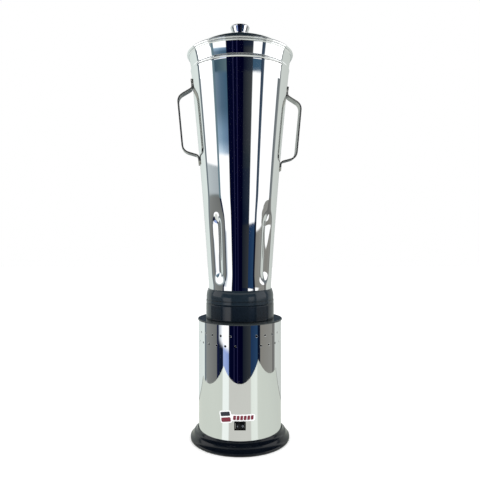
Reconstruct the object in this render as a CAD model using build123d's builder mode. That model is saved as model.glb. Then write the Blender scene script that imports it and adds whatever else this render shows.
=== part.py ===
"""Tall commercial blender: motor cabinet on a rubber foot, lift-off steel cup and lid.

Millimetres, +Z up. The origin is the centre of the foot on the floor and the
switch faces -Y. Angles around the axis are counted from +X, anticlockwise.
"""
import os
from math import atan2, cos, degrees, radians, sin, sqrt

from build123d import *

os.makedirs("parts", exist_ok=True)

# ---------------------------------------------------------------- driving sizes
FRONT = -90.0  # direction of the switch, in degrees around the axis

# rubber foot
FOOT_R = 96.0
FOOT_CHAMFER = 1.5
FOOT_LIP_HEIGHT = 5.0
FOOT_SHOULDER_R = 93.4
FOOT_SHOULDER_Z = 9.7
FOOT_STEP_R = 89.3
FOOT_STEP_Z = 12.9
FOOT_LEDGE_R = 88.7
FOOT_LEDGE_Z = 14.5
FOOT_WAIST_R = 84.1
FOOT_WAIST_Z = 17.8
FOOT_COLLAR_R = 81.9
FOOT_TOP_Z = 22.0
FOOT_OPENING_R = 68.0
FOOT_FLOOR = 5.0

# motor cabinet
SHELL_R = 80.0
SHELL_WALL = 0.8
SHELL_TOP_Z = 230.0
COVER_R = 82.2
COVER_TOP_Z = 232.8
COVER_HOLE_R = 20.0
COVER_SKIRT = 8.0
COVER_EDGE_R = 1.2
PLATE_THICK = 2.0
PLATE_HOLE_R = 3.5
PLATE_HOLE_RINGS = ((18.0, 6), (34.0, 12), (50.0, 18))  # circle radius and hole count
VENT_R = 2.05
VENT_PITCH = 13.2
VENTS_PER_ROW = 12
VENT_FIRST = FRONT + 21.9
VENT_UPPER_Z = 210.0
VENT_LOWER_Z = 192.0

# seat collar and jug base, the two black rings
COLLAR_R = 66.0
COLLAR_TOP_Z = 262.8
COLLAR_BORE_R = 55.0
COLLAR_FLOOR_Z = 238.0
COLLAR_HOLE_R = 26.0
COLLAR_EDGE_R = 1.0
KEY_COUNT = 3
KEY_START = 90.0
KEY_WIDTH = 10.0
KEY_INSET = 3.0
KEY_GAP = 0.4
JUG_BASE_Z = 263.0
JUG_BASE_LIP_R = 65.8
JUG_BASE_LIP_EDGE = 1.0
JUG_BASE_R = 65.3
JUG_BASE_GROOVE_Z = 269.0
JUG_BASE_GROOVE_WIDTH = 1.7
JUG_BASE_GROOVE_DEPTH = 1.2
JUG_BASE_SHOULDER_Z = 277.0
JUG_BASE_CROWN_R = 64.3
JUG_BASE_CROWN_Z = 283.5
JUG_BASE_TOP_Z = 290.0
JUG_BASE_TOP_R = 61.9
SPIGOT_DEPTH = 12.0
SPIGOT_R = 54.6
SPIGOT_BORE_R = 46.0

# cup
CUP_TURN = 4.5  # the cup stands turned on its seat by this angle
CUP_WALL = 1.0
CUP_FLOOR_Z = 272.0
CUP_NECK_Z = 298.0
CUP_NECK_R = 60.6
CUP_TAPER = 0.062
CUP_FLARE = 5.2e-5
CUP_WALL_STATIONS = 7
CUP_SEAM_Z = 446.0  # the cup is welded up from a neck, a wall and a collar
BEAD_LOW_Z = 709.8
BEAD_Z = 711.4
BEAD_STAND = 0.8
LIP_FOOT_R = 94.4
LIP_FOOT_Z = 713.4
LIP_HOLLOW = 0.5
RIM_R = 99.2
RIM_Z = 738.0
RIM_ROLL_R = 1.7
FLUTE_COUNT = 4
FLUTE_START = 45.0
FLUTE_LOW_Z = 322.0
FLUTE_HIGH_Z = 417.0
FLUTE_R = 22.0
FLUTE_DEPTH = 6.2

# strip handles
STRIP_WIDTH = 20.0
STRIP_THICK = 3.2
HANDLE_TAB_TOP_Z = 694.0
HANDLE_TOP_Z = 677.0
HANDLE_TOP_CORNER_Z = 660.0
HANDLE_LOW_CORNER_Z = 555.5
HANDLE_LOW_Z = 547.0
HANDLE_TAB_LOW_Z = 530.0
HANDLE_REACH = 31.0
HANDLE_ROOT_BEND_R = 8.0
HANDLE_CORNER_R = 18.0
WELD_SINK = 0.3
RIGHT_HANDLE_DROP = 10.5

# lid
LID_R = 103.0
LID_ROLL_R = 2.1
LID_ROLL_Z = 741.6
LID_TOP_Z = 775.0
LID_TOP_FLAT_R = 12.5
LID_SHEET = 0.8
PLUG_R = 93.3
PLUG_LOW_Z = 724.0
PLUG_HEIGHT = 24.7
LID_BROW_R = 68.5
LID_BROW_Z = 762.5
KNOB_TOP_Z = 800.0
KNOB_TOP_R = 17.8
KNOB_EDGE_R = 18.6
KNOB_EDGE_Z = 798.5
KNOB_FLARE_R = 18.0
KNOB_FLARE_Z = 797.0
KNOB_WAIST_Z = 787.0
KNOB_WAIST_R = 14.3
KNOB_FOOT_R = 11.5

# motor
STATOR_LOW_Z = 110.0
STATOR_HIGH_Z = 165.0
STATOR_R = 62.0
STATOR_BORE_R = 33.4
ROTOR_R = 33.0
END_RING_INSET = 3.0
END_RING_HEIGHT = 6.0
SLOT_COUNT = 12
SLOT_R = 4.0
SLOT_CIRCLE_R = 43.0
BELL_RIM_R = 55.0
BELL_WINDOWS = 6
BELL_WINDOW_START = 15.0
BELL_WINDOW_SETBACK = 16.0
BELL_WINDOW_DEPTH = 19.0
BELL_WINDOW_WIDTH = 22.0
BELL_WINDOW_HEIGHT = 16.0
UPPER_BELL_SHOULDER_Z = 207.0
UPPER_BELL_SHOULDER_UNDER_Z = 196.0
UPPER_BELL_NECK_R = 52.0
UPPER_BELL_NECK_Z = 214.0
UPPER_BELL_NECK_INNER_R = 48.0
UPPER_BELL_NECK_UNDER_Z = 202.0
UPPER_BELL_SEAT_Z = 206.0
UPPER_BELL_BORE_R = 12.0
LOWER_BELL_RIM_Z = 74.0
LOWER_BELL_DISH_R = 52.0
LOWER_BELL_DISH_Z = 65.0
LOWER_BELL_HUB_R = 22.5
LOWER_BELL_HUB_Z = 63.0
LOWER_BELL_END_Z = 57.0
LOWER_BELL_FLOOR_R = 48.0
LOWER_BELL_FLOOR_Z = 73.0
LOWER_BELL_WALL_Z = 79.0
TIE_BOLT_COUNT = 4
TIE_BOLT_R = 2.0
TIE_CIRCLE_R = 58.5
TIE_BOLT_BITE = 10.0
TIE_HEAD_Z = 73.0
TIE_HEAD_R = 4.0
TIE_HEAD_HEIGHT = 3.0
TIE_SPOT_FACE_R = 4.8
SHAFT_R = 7.5
SHAFT_BODY_R = 9.0
SHAFT_LOW_Z = 58.0
SHAFT_TOP_Z = 242.0
SHAFT_STEP_GAP = 1.0
BEARING_R = 17.5
BEARING_WIDTH = 11.0
LOWER_BEARING_Z = 60.0
UPPER_BEARING_Z = 215.0
RUN_CLEARANCE = 0.04
SLIP = 0.1  # easy gap between pieces that are fixed to each other

# dog coupling between the motor and the blades
DOG_COUNT = 4
DOG_ANGLE = 30.0
DOG_R = 22.0
DOG_INNER_R = 10.0
DRIVE_PLATE_Z = 236.6
DRIVE_PLATE_THICK = 4.4
DOG_HEIGHT = 7.8
DRIVEN_DOG_START = 45.0
DRIVEN_PLATE_Z = 249.6
DRIVEN_PLATE_THICK = 4.8

# blade hub and blades
HUB_R = 15.8
HUB_FLANGE_R = 25.0
HUB_FLANGE_THICK = 3.0
HUB_CONE_HEIGHT = 6.0
HUB_NOSE_R = 12.8
HUB_NOSE_Z = 290.0
HUB_TIP_R = 10.8
HUB_LOW_Z = 257.0
HUB_TOP_Z = 292.0
HUB_BORE_R = 9.0
BLADE_SHAFT_R = 5.0
BLADE_SHAFT_COLLAR_R = 9.0
BLADE_SHAFT_COLLAR_Z = 293.0
STUD_STEP = 1.0
STUD_LENGTH = 9.0
BLADE_TIP_R = 42.0
BLADE_WIDTH = 14.0
BLADE_THICK = 2.0
BLADE_FLAT = 18.0
LOWER_BLADE_Z = 298.0
SPACER_HEIGHT = 6.0
SPACER_R = 8.0
BLADE_WASHER_R = 8.5
LOWER_BLADE_DROP = 5.0
LOWER_BLADE_ANGLE = 20.0
UPPER_BLADE_RISE = 15.0
UPPER_BLADE_ANGLE = 110.0

# rocker switch and cable entry
SWITCH_Z = 50.0
BEZEL_WIDTH = 21.0
BEZEL_HEIGHT = 15.0
BEZEL_THICK = 2.2
BEZEL_CORNER_R = 1.0
BEZEL_EDGE_R = 0.7
SWITCH_BODY_WIDTH = 19.0
SWITCH_BODY_HEIGHT = 13.0
SWITCH_BODY_DEPTH = 14.0
ROCKER_HALF = 8.2
ROCKER_HEIGHT = 10.6
ROCKER_TILT = 7.0
ROCKER_PIVOT_Y = -78.6
ROCKER_END_BACK = 2.0
ROCKER_MIDDLE_BACK = 3.2
ROCKER_END_FACE = -3.6
ROCKER_MIDDLE_FACE = -2.4
ROCKER_END_GAP = 0.7
ROCKER_SIDE_GAP = 0.2
ROCKER_WELL_DEPTH = 9.0
PIVOT_R = 1.2
GROMMET_Z = 34.0
GROMMET_BORE_R = 4.0
GROMMET_BODY_R = 6.5
GROMMET_FLANGE_R = 9.0
GROMMET_EDGE_R = 1.2
GROMMET_FLANGE_DEPTH = 3.0
GROMMET_BODY_DEPTH = 11.0
NUT_SETBACK = 1.6
NUT_THICK = 4.0

# name badge: a plain band and a turned rounded square
BAND_X = 2.9
BAND_Z = 64.2
BAND_WIDTH = 49.0
BAND_HEIGHT = 12.4
BAND_CORNER_R = 2.0
EMBLEM_X = -26.0
EMBLEM_Z = 65.0
EMBLEM_WIDTH = 22.4
EMBLEM_CORNER_R = 4.5
EMBLEM_TURN = 9.0
BADGE_THICK = 0.5
BADGE_REACH = 20.0

# fan, coils, capacitor and terminals inside the cabinet
FAN_Z = 79.0
FAN_HEIGHT = 15.0
FAN_R = 47.0
FAN_HUB_R = 14.0
FAN_BLADES = 10
FAN_ROOT_SINK = 0.5
COIL_HEIGHT = 13.0
COIL_HALF = 8.0
CAPACITOR_R = 14.0
CAPACITOR_EDGE_R = 1.5
CAPACITOR_LENGTH = 62.0
CAPACITOR_Y = 12.0
CAPACITOR_Z = 26.0
SADDLE_WIDTH = 22.0
SADDLE_LENGTH = 36.0
TERMINAL_Y = -30.0
TERMINAL_LENGTH = 46.0
TERMINAL_WIDTH = 20.0
TERMINAL_HEIGHT = 14.0
TERMINAL_PITCH = 10.0
TERMINAL_HOLE_R = 2.2
TERMINAL_HOLE_DEPTH = 4.6
TERMINAL_CORNER_R = 1.0

# small pieces of the hub, blades and lid
GASKET_TOP_Z = 274.6
HUB_NUT_R = 22.0
BUSH_LENGTH = 11.0
SHAFT_SEAL_LOW_Z = 288.0
SHAFT_SEAL_BORE_R = 5.3
BLADE_SHAFT_LOW_Z = 245.0
WASHER_THICK = 1.5
CAP_NUT_R = 8.0
CAP_NUT_HEIGHT = 12.0
KNOB_HOLE_DEPTH = 13.0
LID_WASHER_THICK = 1.0
LID_WASHER_R = 6.1
LID_SEAL_THICK = 1.6
LID_SEAL_LOW_Z = 726.0
LID_SEAL_TOP_Z = 731.0

# small fasteners
SCREW_START = 45.0
M5_R = 2.5
M5_HEAD_R = 4.6
M4_R = 2.0
M4_HEAD_R = 3.8
M4_HEAD_HEIGHT = 2.1
M5_HEAD_HEIGHT = 3.2
FLOOR_SCREW_TIP_Z = 11.0
COLLAR_SCREW_TIP_Z = 216.0
SCREW_CIRCLE_R = 40.0
FLOOR_SCREW_CIRCLE_R = 74.0


# ---------------------------------------------------------------- shared shapes
def cup_radius(z):
    """Outside radius of the cup wall: a straight neck, then a slowly opening taper."""
    rise = max(z - CUP_NECK_Z, 0.0)
    return CUP_NECK_R + CUP_TAPER * rise + CUP_FLARE * rise**2


def save(piece, name):
    """Label a finished piece and write it as its own STEP file."""
    piece.label = name
    export_step(piece, f"parts/{name}.step")


def disc(radius, low_z, high_z):
    """A plain upright disc."""
    with BuildPart() as body:
        with BuildSketch(Plane.XY.offset(low_z)):
            Circle(radius)
        extrude(amount=high_z - low_z)
    return body.part


def ring(outer_r, inner_r, low_z, high_z):
    """A plain upright ring."""
    with BuildPart() as body:
        with BuildSketch(Plane.XY.offset(low_z)):
            Circle(outer_r)
            Circle(inner_r, mode=Mode.SUBTRACT)
        extrude(amount=high_z - low_z)
    return body.part


def turned(*outline):
    """A solid turned about Z from a closed outline of (radius, height) points."""
    with BuildPart() as body:
        with BuildSketch(Plane.XZ):
            with BuildLine():
                Polyline(*outline, close=True)
            make_face()
        revolve(axis=Axis.Z)
    return body.part


def upright_plane(angle):
    """Plane through the Z axis: local x points outward along the angle, local y is up."""
    outward = (cos(radians(angle)), sin(radians(angle)), 0)
    normal = (sin(radians(angle)), -cos(radians(angle)), 0)
    return Plane(origin=(0, 0, 0), x_dir=outward, z_dir=normal)


def screws(head_r, shank_r, circle_r, head_z, head_height, tip_z):
    """Four screws on a circle; the head grows from head_z away from the tip."""
    upward = 1 if head_z > tip_z else -1
    with BuildPart() as group:
        with BuildSketch(Plane.XY.offset(head_z)):
            with PolarLocations(circle_r, 4, start_angle=SCREW_START):
                Circle(head_r)
        extrude(amount=upward * head_height)
        with BuildSketch(Plane.XY.offset(head_z)):
            with PolarLocations(circle_r, 4, start_angle=SCREW_START):
                Circle(shank_r)
        extrude(amount=tip_z - head_z)
        with BuildSketch(Plane.XY.offset(head_z + upward * head_height)):
            with PolarLocations(circle_r, 4, start_angle=SCREW_START):
                RegularPolygon(shank_r, 6)
        extrude(amount=-upward * head_height / 2, mode=Mode.SUBTRACT)
    return group.part


# ---------------------------------------------------------------- rubber foot
with BuildPart() as foot_ring:
    with BuildSketch(Plane.XZ):
        with BuildLine():
            Polyline(
                (FOOT_OPENING_R, FOOT_FLOOR),
                (FOOT_OPENING_R, 0),
                (FOOT_R - FOOT_CHAMFER, 0),
                (FOOT_R, FOOT_CHAMFER),
                (FOOT_R, FOOT_LIP_HEIGHT),
            )
            ThreePointArc(
                (FOOT_R, FOOT_LIP_HEIGHT),
                (FOOT_SHOULDER_R, FOOT_SHOULDER_Z),
                (FOOT_STEP_R, FOOT_STEP_Z),
            )
            Line((FOOT_STEP_R, FOOT_STEP_Z), (FOOT_LEDGE_R, FOOT_LEDGE_Z))
            ThreePointArc(
                (FOOT_LEDGE_R, FOOT_LEDGE_Z),
                (FOOT_WAIST_R, FOOT_WAIST_Z),
                (FOOT_COLLAR_R, FOOT_TOP_Z),
            )
            Polyline(
                (FOOT_COLLAR_R, FOOT_TOP_Z),
                (SHELL_R + SLIP, FOOT_TOP_Z),
                (SHELL_R + SLIP, FOOT_FLOOR),
                (FOOT_OPENING_R, FOOT_FLOOR),
            )
        make_face()
    revolve(axis=Axis.Z)
    with PolarLocations(FLOOR_SCREW_CIRCLE_R, 4, start_angle=SCREW_START):
        Cylinder(M4_R + SLIP, 4 * FOOT_FLOOR, mode=Mode.SUBTRACT)
        Cylinder(M4_HEAD_R + SLIP, FOOT_FLOOR, mode=Mode.SUBTRACT)
save(foot_ring.part, "foot_ring")

with BuildPart() as bottom_plate:
    with BuildSketch(Plane.XY.offset(FOOT_FLOOR)):
        Circle(SHELL_R - SHELL_WALL - SLIP)
        with PolarLocations(FLOOR_SCREW_CIRCLE_R, 4, start_angle=SCREW_START):
            Circle(M4_R + SLIP, mode=Mode.SUBTRACT)
        for circle_r, hole_count in PLATE_HOLE_RINGS:
            with PolarLocations(circle_r, hole_count):
                Circle(PLATE_HOLE_R, mode=Mode.SUBTRACT)
    extrude(amount=PLATE_THICK)
save(bottom_plate.part, "bottom_plate")

save(
    screws(
        M4_HEAD_R,
        M4_R,
        FLOOR_SCREW_CIRCLE_R,
        FOOT_FLOOR / 2,
        M4_HEAD_HEIGHT,
        FLOOR_SCREW_TIP_Z,
    ),
    "bottom_plate_screws",
)

# ---------------------------------------------------------------- motor cabinet
with BuildPart() as cabinet_shell:
    with BuildSketch(Plane.XY.offset(FOOT_FLOOR)):
        Circle(SHELL_R)
        Circle(SHELL_R - SHELL_WALL, mode=Mode.SUBTRACT)
    extrude(amount=SHELL_TOP_Z - FOOT_FLOOR)
    for row_z, row_lead in ((VENT_UPPER_Z, 0), (VENT_LOWER_Z, VENT_PITCH / 2)):
        for side in (0, 180):
            with Locations((0, 0, row_z)):
                with PolarLocations(
                    SHELL_R,
                    VENTS_PER_ROW,
                    start_angle=VENT_FIRST + row_lead + side,
                    angular_range=VENT_PITCH * VENTS_PER_ROW,
                ):
                    Cylinder(VENT_R, 8 * SHELL_WALL, rotation=(0, 90, 0), mode=Mode.SUBTRACT)
    with Locations((0, -SHELL_R, SWITCH_Z)):
        Box(
            SWITCH_BODY_WIDTH + SLIP,
            SWITCH_BODY_DEPTH,
            SWITCH_BODY_HEIGHT + SLIP,
            mode=Mode.SUBTRACT,
        )
    with Locations((0, SHELL_R, GROMMET_Z)):
        Cylinder(
            GROMMET_BODY_R + SLIP, GROMMET_BODY_R, rotation=(90, 0, 0), mode=Mode.SUBTRACT
        )
save(cabinet_shell.part, "cabinet_shell")

# pressed steel lid of the cabinet, with a ring inside the shell that centres it
with BuildPart() as top_cover:
    with BuildSketch(Plane.XY.offset(SHELL_TOP_Z)):
        Circle(COVER_R)
        Circle(COVER_HOLE_R, mode=Mode.SUBTRACT)
        with PolarLocations(SCREW_CIRCLE_R, 4, start_angle=SCREW_START):
            Circle(M5_R + SLIP, mode=Mode.SUBTRACT)
    extrude(amount=COVER_TOP_Z - SHELL_TOP_Z)
    with BuildSketch(Plane.XY.offset(SHELL_TOP_Z)):
        Circle(SHELL_R - SHELL_WALL - SLIP)
        Circle(SHELL_R - SHELL_WALL - SLIP - PLATE_THICK, mode=Mode.SUBTRACT)
    extrude(amount=-COVER_SKIRT)
    fillet(top_cover.edges().group_by(Axis.Z)[-1].sort_by(SortBy.LENGTH)[-1], COVER_EDGE_R)
save(top_cover.part, "top_cover")

with BuildPart() as seat_collar:
    with BuildSketch(Plane.XY.offset(COVER_TOP_Z)):
        Circle(COLLAR_R)
        Circle(COLLAR_HOLE_R, mode=Mode.SUBTRACT)
        with PolarLocations(SCREW_CIRCLE_R, 4, start_angle=SCREW_START):
            Circle(M5_R + SLIP, mode=Mode.SUBTRACT)
    extrude(amount=COLLAR_TOP_Z - COVER_TOP_Z)
    with BuildSketch(Plane.XY.offset(COLLAR_FLOOR_Z)):
        Circle(COLLAR_BORE_R)
        with PolarLocations(COLLAR_BORE_R, KEY_COUNT, start_angle=KEY_START):
            Rectangle(2 * KEY_INSET, KEY_WIDTH, mode=Mode.SUBTRACT)
    extrude(amount=COLLAR_TOP_Z - COLLAR_FLOOR_Z, mode=Mode.SUBTRACT)
    outer_rim = seat_collar.edges().filter_by(GeomType.CIRCLE).group_by(Axis.Z)[-1]
    fillet(outer_rim.sort_by(SortBy.RADIUS)[-1], COLLAR_EDGE_R)
save(seat_collar.part, "seat_collar")

save(
    screws(
        M5_HEAD_R,
        M5_R,
        SCREW_CIRCLE_R,
        COLLAR_FLOOR_Z,
        M5_HEAD_HEIGHT,
        COLLAR_SCREW_TIP_Z,
    ),
    "collar_screws",
)

# a thin badge bent round the shell: a band with a turned square at one end
with BuildPart() as name_badge:
    with BuildSketch(Plane.XZ.offset(SHELL_R - BADGE_REACH / 2)):
        with Locations((BAND_X, BAND_Z)):
            RectangleRounded(BAND_WIDTH, BAND_HEIGHT, BAND_CORNER_R)
        with Locations((EMBLEM_X, EMBLEM_Z)):
            RectangleRounded(EMBLEM_WIDTH, EMBLEM_WIDTH, EMBLEM_CORNER_R, rotation=EMBLEM_TURN)
    extrude(amount=BADGE_REACH)
    add(
        ring(
            SHELL_R + BADGE_THICK,
            SHELL_R + SLIP / 2,
            EMBLEM_Z - EMBLEM_WIDTH,
            EMBLEM_Z + EMBLEM_WIDTH,
        ),
        mode=Mode.INTERSECT,
    )
save(name_badge.part, "name_badge")

# ---------------------------------------------------------------- rocker switch and cable entry
with BuildPart() as switch_housing:
    with BuildSketch(Plane.XZ.offset(SHELL_R)):
        with Locations((0, SWITCH_Z)):
            RectangleRounded(BEZEL_WIDTH, BEZEL_HEIGHT, BEZEL_CORNER_R)
    extrude(amount=BEZEL_THICK)
    with BuildSketch(Plane.XZ.offset(SHELL_R)):
        with Locations((0, SWITCH_Z)):
            Rectangle(SWITCH_BODY_WIDTH, SWITCH_BODY_HEIGHT)
    extrude(amount=-SWITCH_BODY_DEPTH)
    fillet(switch_housing.faces().sort_by(Axis.Y)[0].edges(), BEZEL_EDGE_R)
    with BuildSketch(Plane.XZ.offset(SHELL_R + BEZEL_THICK)):
        with Locations((0, SWITCH_Z)):
            Rectangle(2 * (ROCKER_HALF + ROCKER_END_GAP), ROCKER_HEIGHT + 2 * ROCKER_SIDE_GAP)
    extrude(amount=-ROCKER_WELL_DEPTH, mode=Mode.SUBTRACT)
    with Locations((0, ROCKER_PIVOT_Y, SWITCH_Z)):
        Cylinder(PIVOT_R + RUN_CLEARANCE, SWITCH_BODY_HEIGHT, mode=Mode.SUBTRACT)
save(switch_housing.part, "switch_housing")

tilt = radians(ROCKER_TILT)
rocker_plane = Plane(
    origin=(0, ROCKER_PIVOT_Y, SWITCH_Z - ROCKER_HEIGHT / 2),
    x_dir=(cos(tilt), sin(tilt), 0),
    z_dir=(0, 0, 1),
)
with BuildPart() as switch_rocker:
    with BuildSketch(rocker_plane):
        with BuildLine():
            Polyline(
                (-ROCKER_HALF, ROCKER_END_BACK),
                (-ROCKER_HALF, ROCKER_END_FACE),
                (0, ROCKER_MIDDLE_FACE),
                (ROCKER_HALF, ROCKER_END_FACE),
                (ROCKER_HALF, ROCKER_END_BACK),
                (0, ROCKER_MIDDLE_BACK),
                (-ROCKER_HALF, ROCKER_END_BACK),
            )
        make_face()
    extrude(amount=ROCKER_HEIGHT)
    with Locations((0, ROCKER_PIVOT_Y, SWITCH_Z)):
        Cylinder(PIVOT_R, SWITCH_BODY_HEIGHT - 2 * SLIP)
save(switch_rocker.part, "switch_rocker")

with BuildPart() as cable_grommet:
    with BuildSketch(Plane.XZ.offset(-SHELL_R)):
        with Locations((0, GROMMET_Z)):
            Circle(GROMMET_FLANGE_R)
    extrude(amount=-GROMMET_FLANGE_DEPTH)
    fillet(cable_grommet.faces().sort_by(Axis.Y)[-1].edges(), GROMMET_EDGE_R)
    with BuildSketch(Plane.XZ.offset(-SHELL_R)):
        with Locations((0, GROMMET_Z)):
            Circle(GROMMET_BODY_R)
    extrude(amount=GROMMET_BODY_DEPTH)
    with BuildSketch(Plane.XZ.offset(-SHELL_R - GROMMET_FLANGE_DEPTH)):
        with Locations((0, GROMMET_Z)):
            Circle(GROMMET_BORE_R)
    extrude(amount=GROMMET_FLANGE_DEPTH + GROMMET_BODY_DEPTH, mode=Mode.SUBTRACT)
save(cable_grommet.part, "cable_grommet")

with BuildPart() as cable_clamp_nut:
    with BuildSketch(Plane.XZ.offset(-SHELL_R + NUT_SETBACK)):
        with Locations((0, GROMMET_Z)):
            RegularPolygon(GROMMET_FLANGE_R, 6)
            Circle(GROMMET_BODY_R + SLIP, mode=Mode.SUBTRACT)
    extrude(amount=NUT_THICK)
save(cable_clamp_nut.part, "cable_clamp_nut")

# ---------------------------------------------------------------- motor
with BuildPart() as upper_end_bell:
    add(
        turned(
            (BELL_RIM_R, STATOR_HIGH_Z),
            (STATOR_R, STATOR_HIGH_Z),
            (STATOR_R, UPPER_BELL_SHOULDER_Z),
            (UPPER_BELL_NECK_R, UPPER_BELL_NECK_Z),
            (UPPER_BELL_NECK_R, SHELL_TOP_Z),
            (UPPER_BELL_BORE_R, SHELL_TOP_Z),
            (UPPER_BELL_BORE_R, UPPER_BEARING_Z + BEARING_WIDTH),
            (BEARING_R + SLIP, UPPER_BEARING_Z + BEARING_WIDTH),
            (BEARING_R + SLIP, UPPER_BELL_SEAT_Z),
            (UPPER_BELL_NECK_INNER_R, UPPER_BELL_NECK_UNDER_Z),
            (BELL_RIM_R, UPPER_BELL_SHOULDER_UNDER_Z),
        )
    )
    with Locations((0, 0, STATOR_HIGH_Z + BELL_WINDOW_SETBACK)):
        with PolarLocations(STATOR_R, BELL_WINDOWS, start_angle=BELL_WINDOW_START):
            Box(BELL_WINDOW_DEPTH, BELL_WINDOW_WIDTH, BELL_WINDOW_HEIGHT, mode=Mode.SUBTRACT)
    with PolarLocations(SCREW_CIRCLE_R, 4, start_angle=SCREW_START):
        Cylinder(M5_R + SLIP, 4 * SHELL_TOP_Z, mode=Mode.SUBTRACT)
    with Locations((0, 0, STATOR_HIGH_Z)):
        with PolarLocations(TIE_CIRCLE_R, TIE_BOLT_COUNT):
            Cylinder(TIE_BOLT_R + SLIP, 2 * TIE_BOLT_BITE, mode=Mode.SUBTRACT)
save(upper_end_bell.part, "upper_end_bell")

with BuildPart() as lower_end_bell:
    add(
        turned(
            (BELL_RIM_R, STATOR_LOW_Z),
            (STATOR_R, STATOR_LOW_Z),
            (STATOR_R, LOWER_BELL_RIM_Z),
            (LOWER_BELL_DISH_R, LOWER_BELL_DISH_Z),
            (LOWER_BELL_HUB_R, LOWER_BELL_HUB_Z),
            (LOWER_BELL_HUB_R, LOWER_BELL_END_Z),
            (SHAFT_BODY_R, LOWER_BELL_END_Z),
            (SHAFT_BODY_R, LOWER_BEARING_Z),
            (BEARING_R + SLIP, LOWER_BEARING_Z),
            (BEARING_R + SLIP, LOWER_BELL_FLOOR_Z),
            (LOWER_BELL_FLOOR_R, LOWER_BELL_FLOOR_Z),
            (BELL_RIM_R, LOWER_BELL_WALL_Z),
        )
    )
    with Locations((0, 0, STATOR_LOW_Z - BELL_WINDOW_SETBACK)):
        with PolarLocations(STATOR_R, BELL_WINDOWS, start_angle=BELL_WINDOW_START):
            Box(BELL_WINDOW_DEPTH, BELL_WINDOW_WIDTH, BELL_WINDOW_HEIGHT, mode=Mode.SUBTRACT)
    with PolarLocations(TIE_CIRCLE_R, TIE_BOLT_COUNT):
        Cylinder(TIE_BOLT_R + SLIP, 4 * STATOR_LOW_Z, mode=Mode.SUBTRACT)
    with BuildSketch(Plane.XY.offset(TIE_HEAD_Z)):
        with PolarLocations(TIE_CIRCLE_R, TIE_BOLT_COUNT):
            Circle(TIE_SPOT_FACE_R)
    extrude(amount=-TIE_BOLT_BITE, mode=Mode.SUBTRACT)
save(lower_end_bell.part, "lower_end_bell")

with BuildPart() as motor_tie_bolts:
    with BuildSketch(Plane.XY.offset(TIE_HEAD_Z)):
        with PolarLocations(TIE_CIRCLE_R, TIE_BOLT_COUNT):
            Circle(TIE_BOLT_R)
    extrude(amount=STATOR_HIGH_Z + TIE_BOLT_BITE - SLIP - TIE_HEAD_Z)
    with BuildSketch(Plane.XY.offset(TIE_HEAD_Z)):
        with PolarLocations(TIE_CIRCLE_R, TIE_BOLT_COUNT):
            RegularPolygon(TIE_HEAD_R, 6)
    extrude(amount=-TIE_HEAD_HEIGHT)
save(motor_tie_bolts.part, "motor_tie_bolts")

with BuildPart() as stator_core:
    with BuildSketch(Plane.XY.offset(STATOR_LOW_Z)):
        Circle(STATOR_R)
        Circle(STATOR_BORE_R, mode=Mode.SUBTRACT)
        with PolarLocations(SLOT_CIRCLE_R, SLOT_COUNT):
            Circle(SLOT_R, mode=Mode.SUBTRACT)
        with PolarLocations(TIE_CIRCLE_R, TIE_BOLT_COUNT):
            Circle(TIE_BOLT_R + SLIP, mode=Mode.SUBTRACT)
    extrude(amount=STATOR_HIGH_Z - STATOR_LOW_Z)
save(stator_core.part, "stator_core")

# the coils run through the slots and turn over in a ring at each end
with BuildPart() as stator_windings:
    with BuildSketch(Plane.XY.offset(STATOR_LOW_Z - SLIP)):
        with PolarLocations(SLOT_CIRCLE_R, SLOT_COUNT):
            Circle(SLOT_R - SLIP)
    extrude(amount=STATOR_HIGH_Z - STATOR_LOW_Z + 2 * SLIP)
    for end_z in (STATOR_LOW_Z - SLIP - COIL_HEIGHT, STATOR_HIGH_Z + SLIP):
        with BuildSketch(Plane.XY.offset(end_z)):
            Circle(SLOT_CIRCLE_R + COIL_HALF)
            Circle(SLOT_CIRCLE_R - COIL_HALF, mode=Mode.SUBTRACT)
        extrude(amount=COIL_HEIGHT)
save(stator_windings.part, "stator_windings")

for bearing_name, bearing_z in (
    ("upper_bearing", UPPER_BEARING_Z),
    ("lower_bearing", LOWER_BEARING_Z),
):
    save(ring(BEARING_R, SHAFT_R + RUN_CLEARANCE, bearing_z, bearing_z + BEARING_WIDTH), bearing_name)

save(
    turned(
        (0, SHAFT_LOW_Z),
        (SHAFT_R, SHAFT_LOW_Z),
        (SHAFT_R, LOWER_BEARING_Z + BEARING_WIDTH + SHAFT_STEP_GAP),
        (SHAFT_BODY_R, LOWER_BEARING_Z + BEARING_WIDTH + SHAFT_STEP_GAP),
        (SHAFT_BODY_R, UPPER_BEARING_Z - SHAFT_STEP_GAP),
        (SHAFT_R, UPPER_BEARING_Z - SHAFT_STEP_GAP),
        (SHAFT_R, SHAFT_TOP_Z),
        (0, SHAFT_TOP_Z),
    ),
    "motor_shaft",
)

save(
    turned(
        (SHAFT_BODY_R, STATOR_LOW_Z - END_RING_HEIGHT),
        (ROTOR_R - END_RING_INSET, STATOR_LOW_Z - END_RING_HEIGHT),
        (ROTOR_R - END_RING_INSET, STATOR_LOW_Z),
        (ROTOR_R, STATOR_LOW_Z),
        (ROTOR_R, STATOR_HIGH_Z),
        (ROTOR_R - END_RING_INSET, STATOR_HIGH_Z),
        (ROTOR_R - END_RING_INSET, STATOR_HIGH_Z + END_RING_HEIGHT),
        (SHAFT_BODY_R, STATOR_HIGH_Z + END_RING_HEIGHT),
    ),
    "rotor_core",
)

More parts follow.
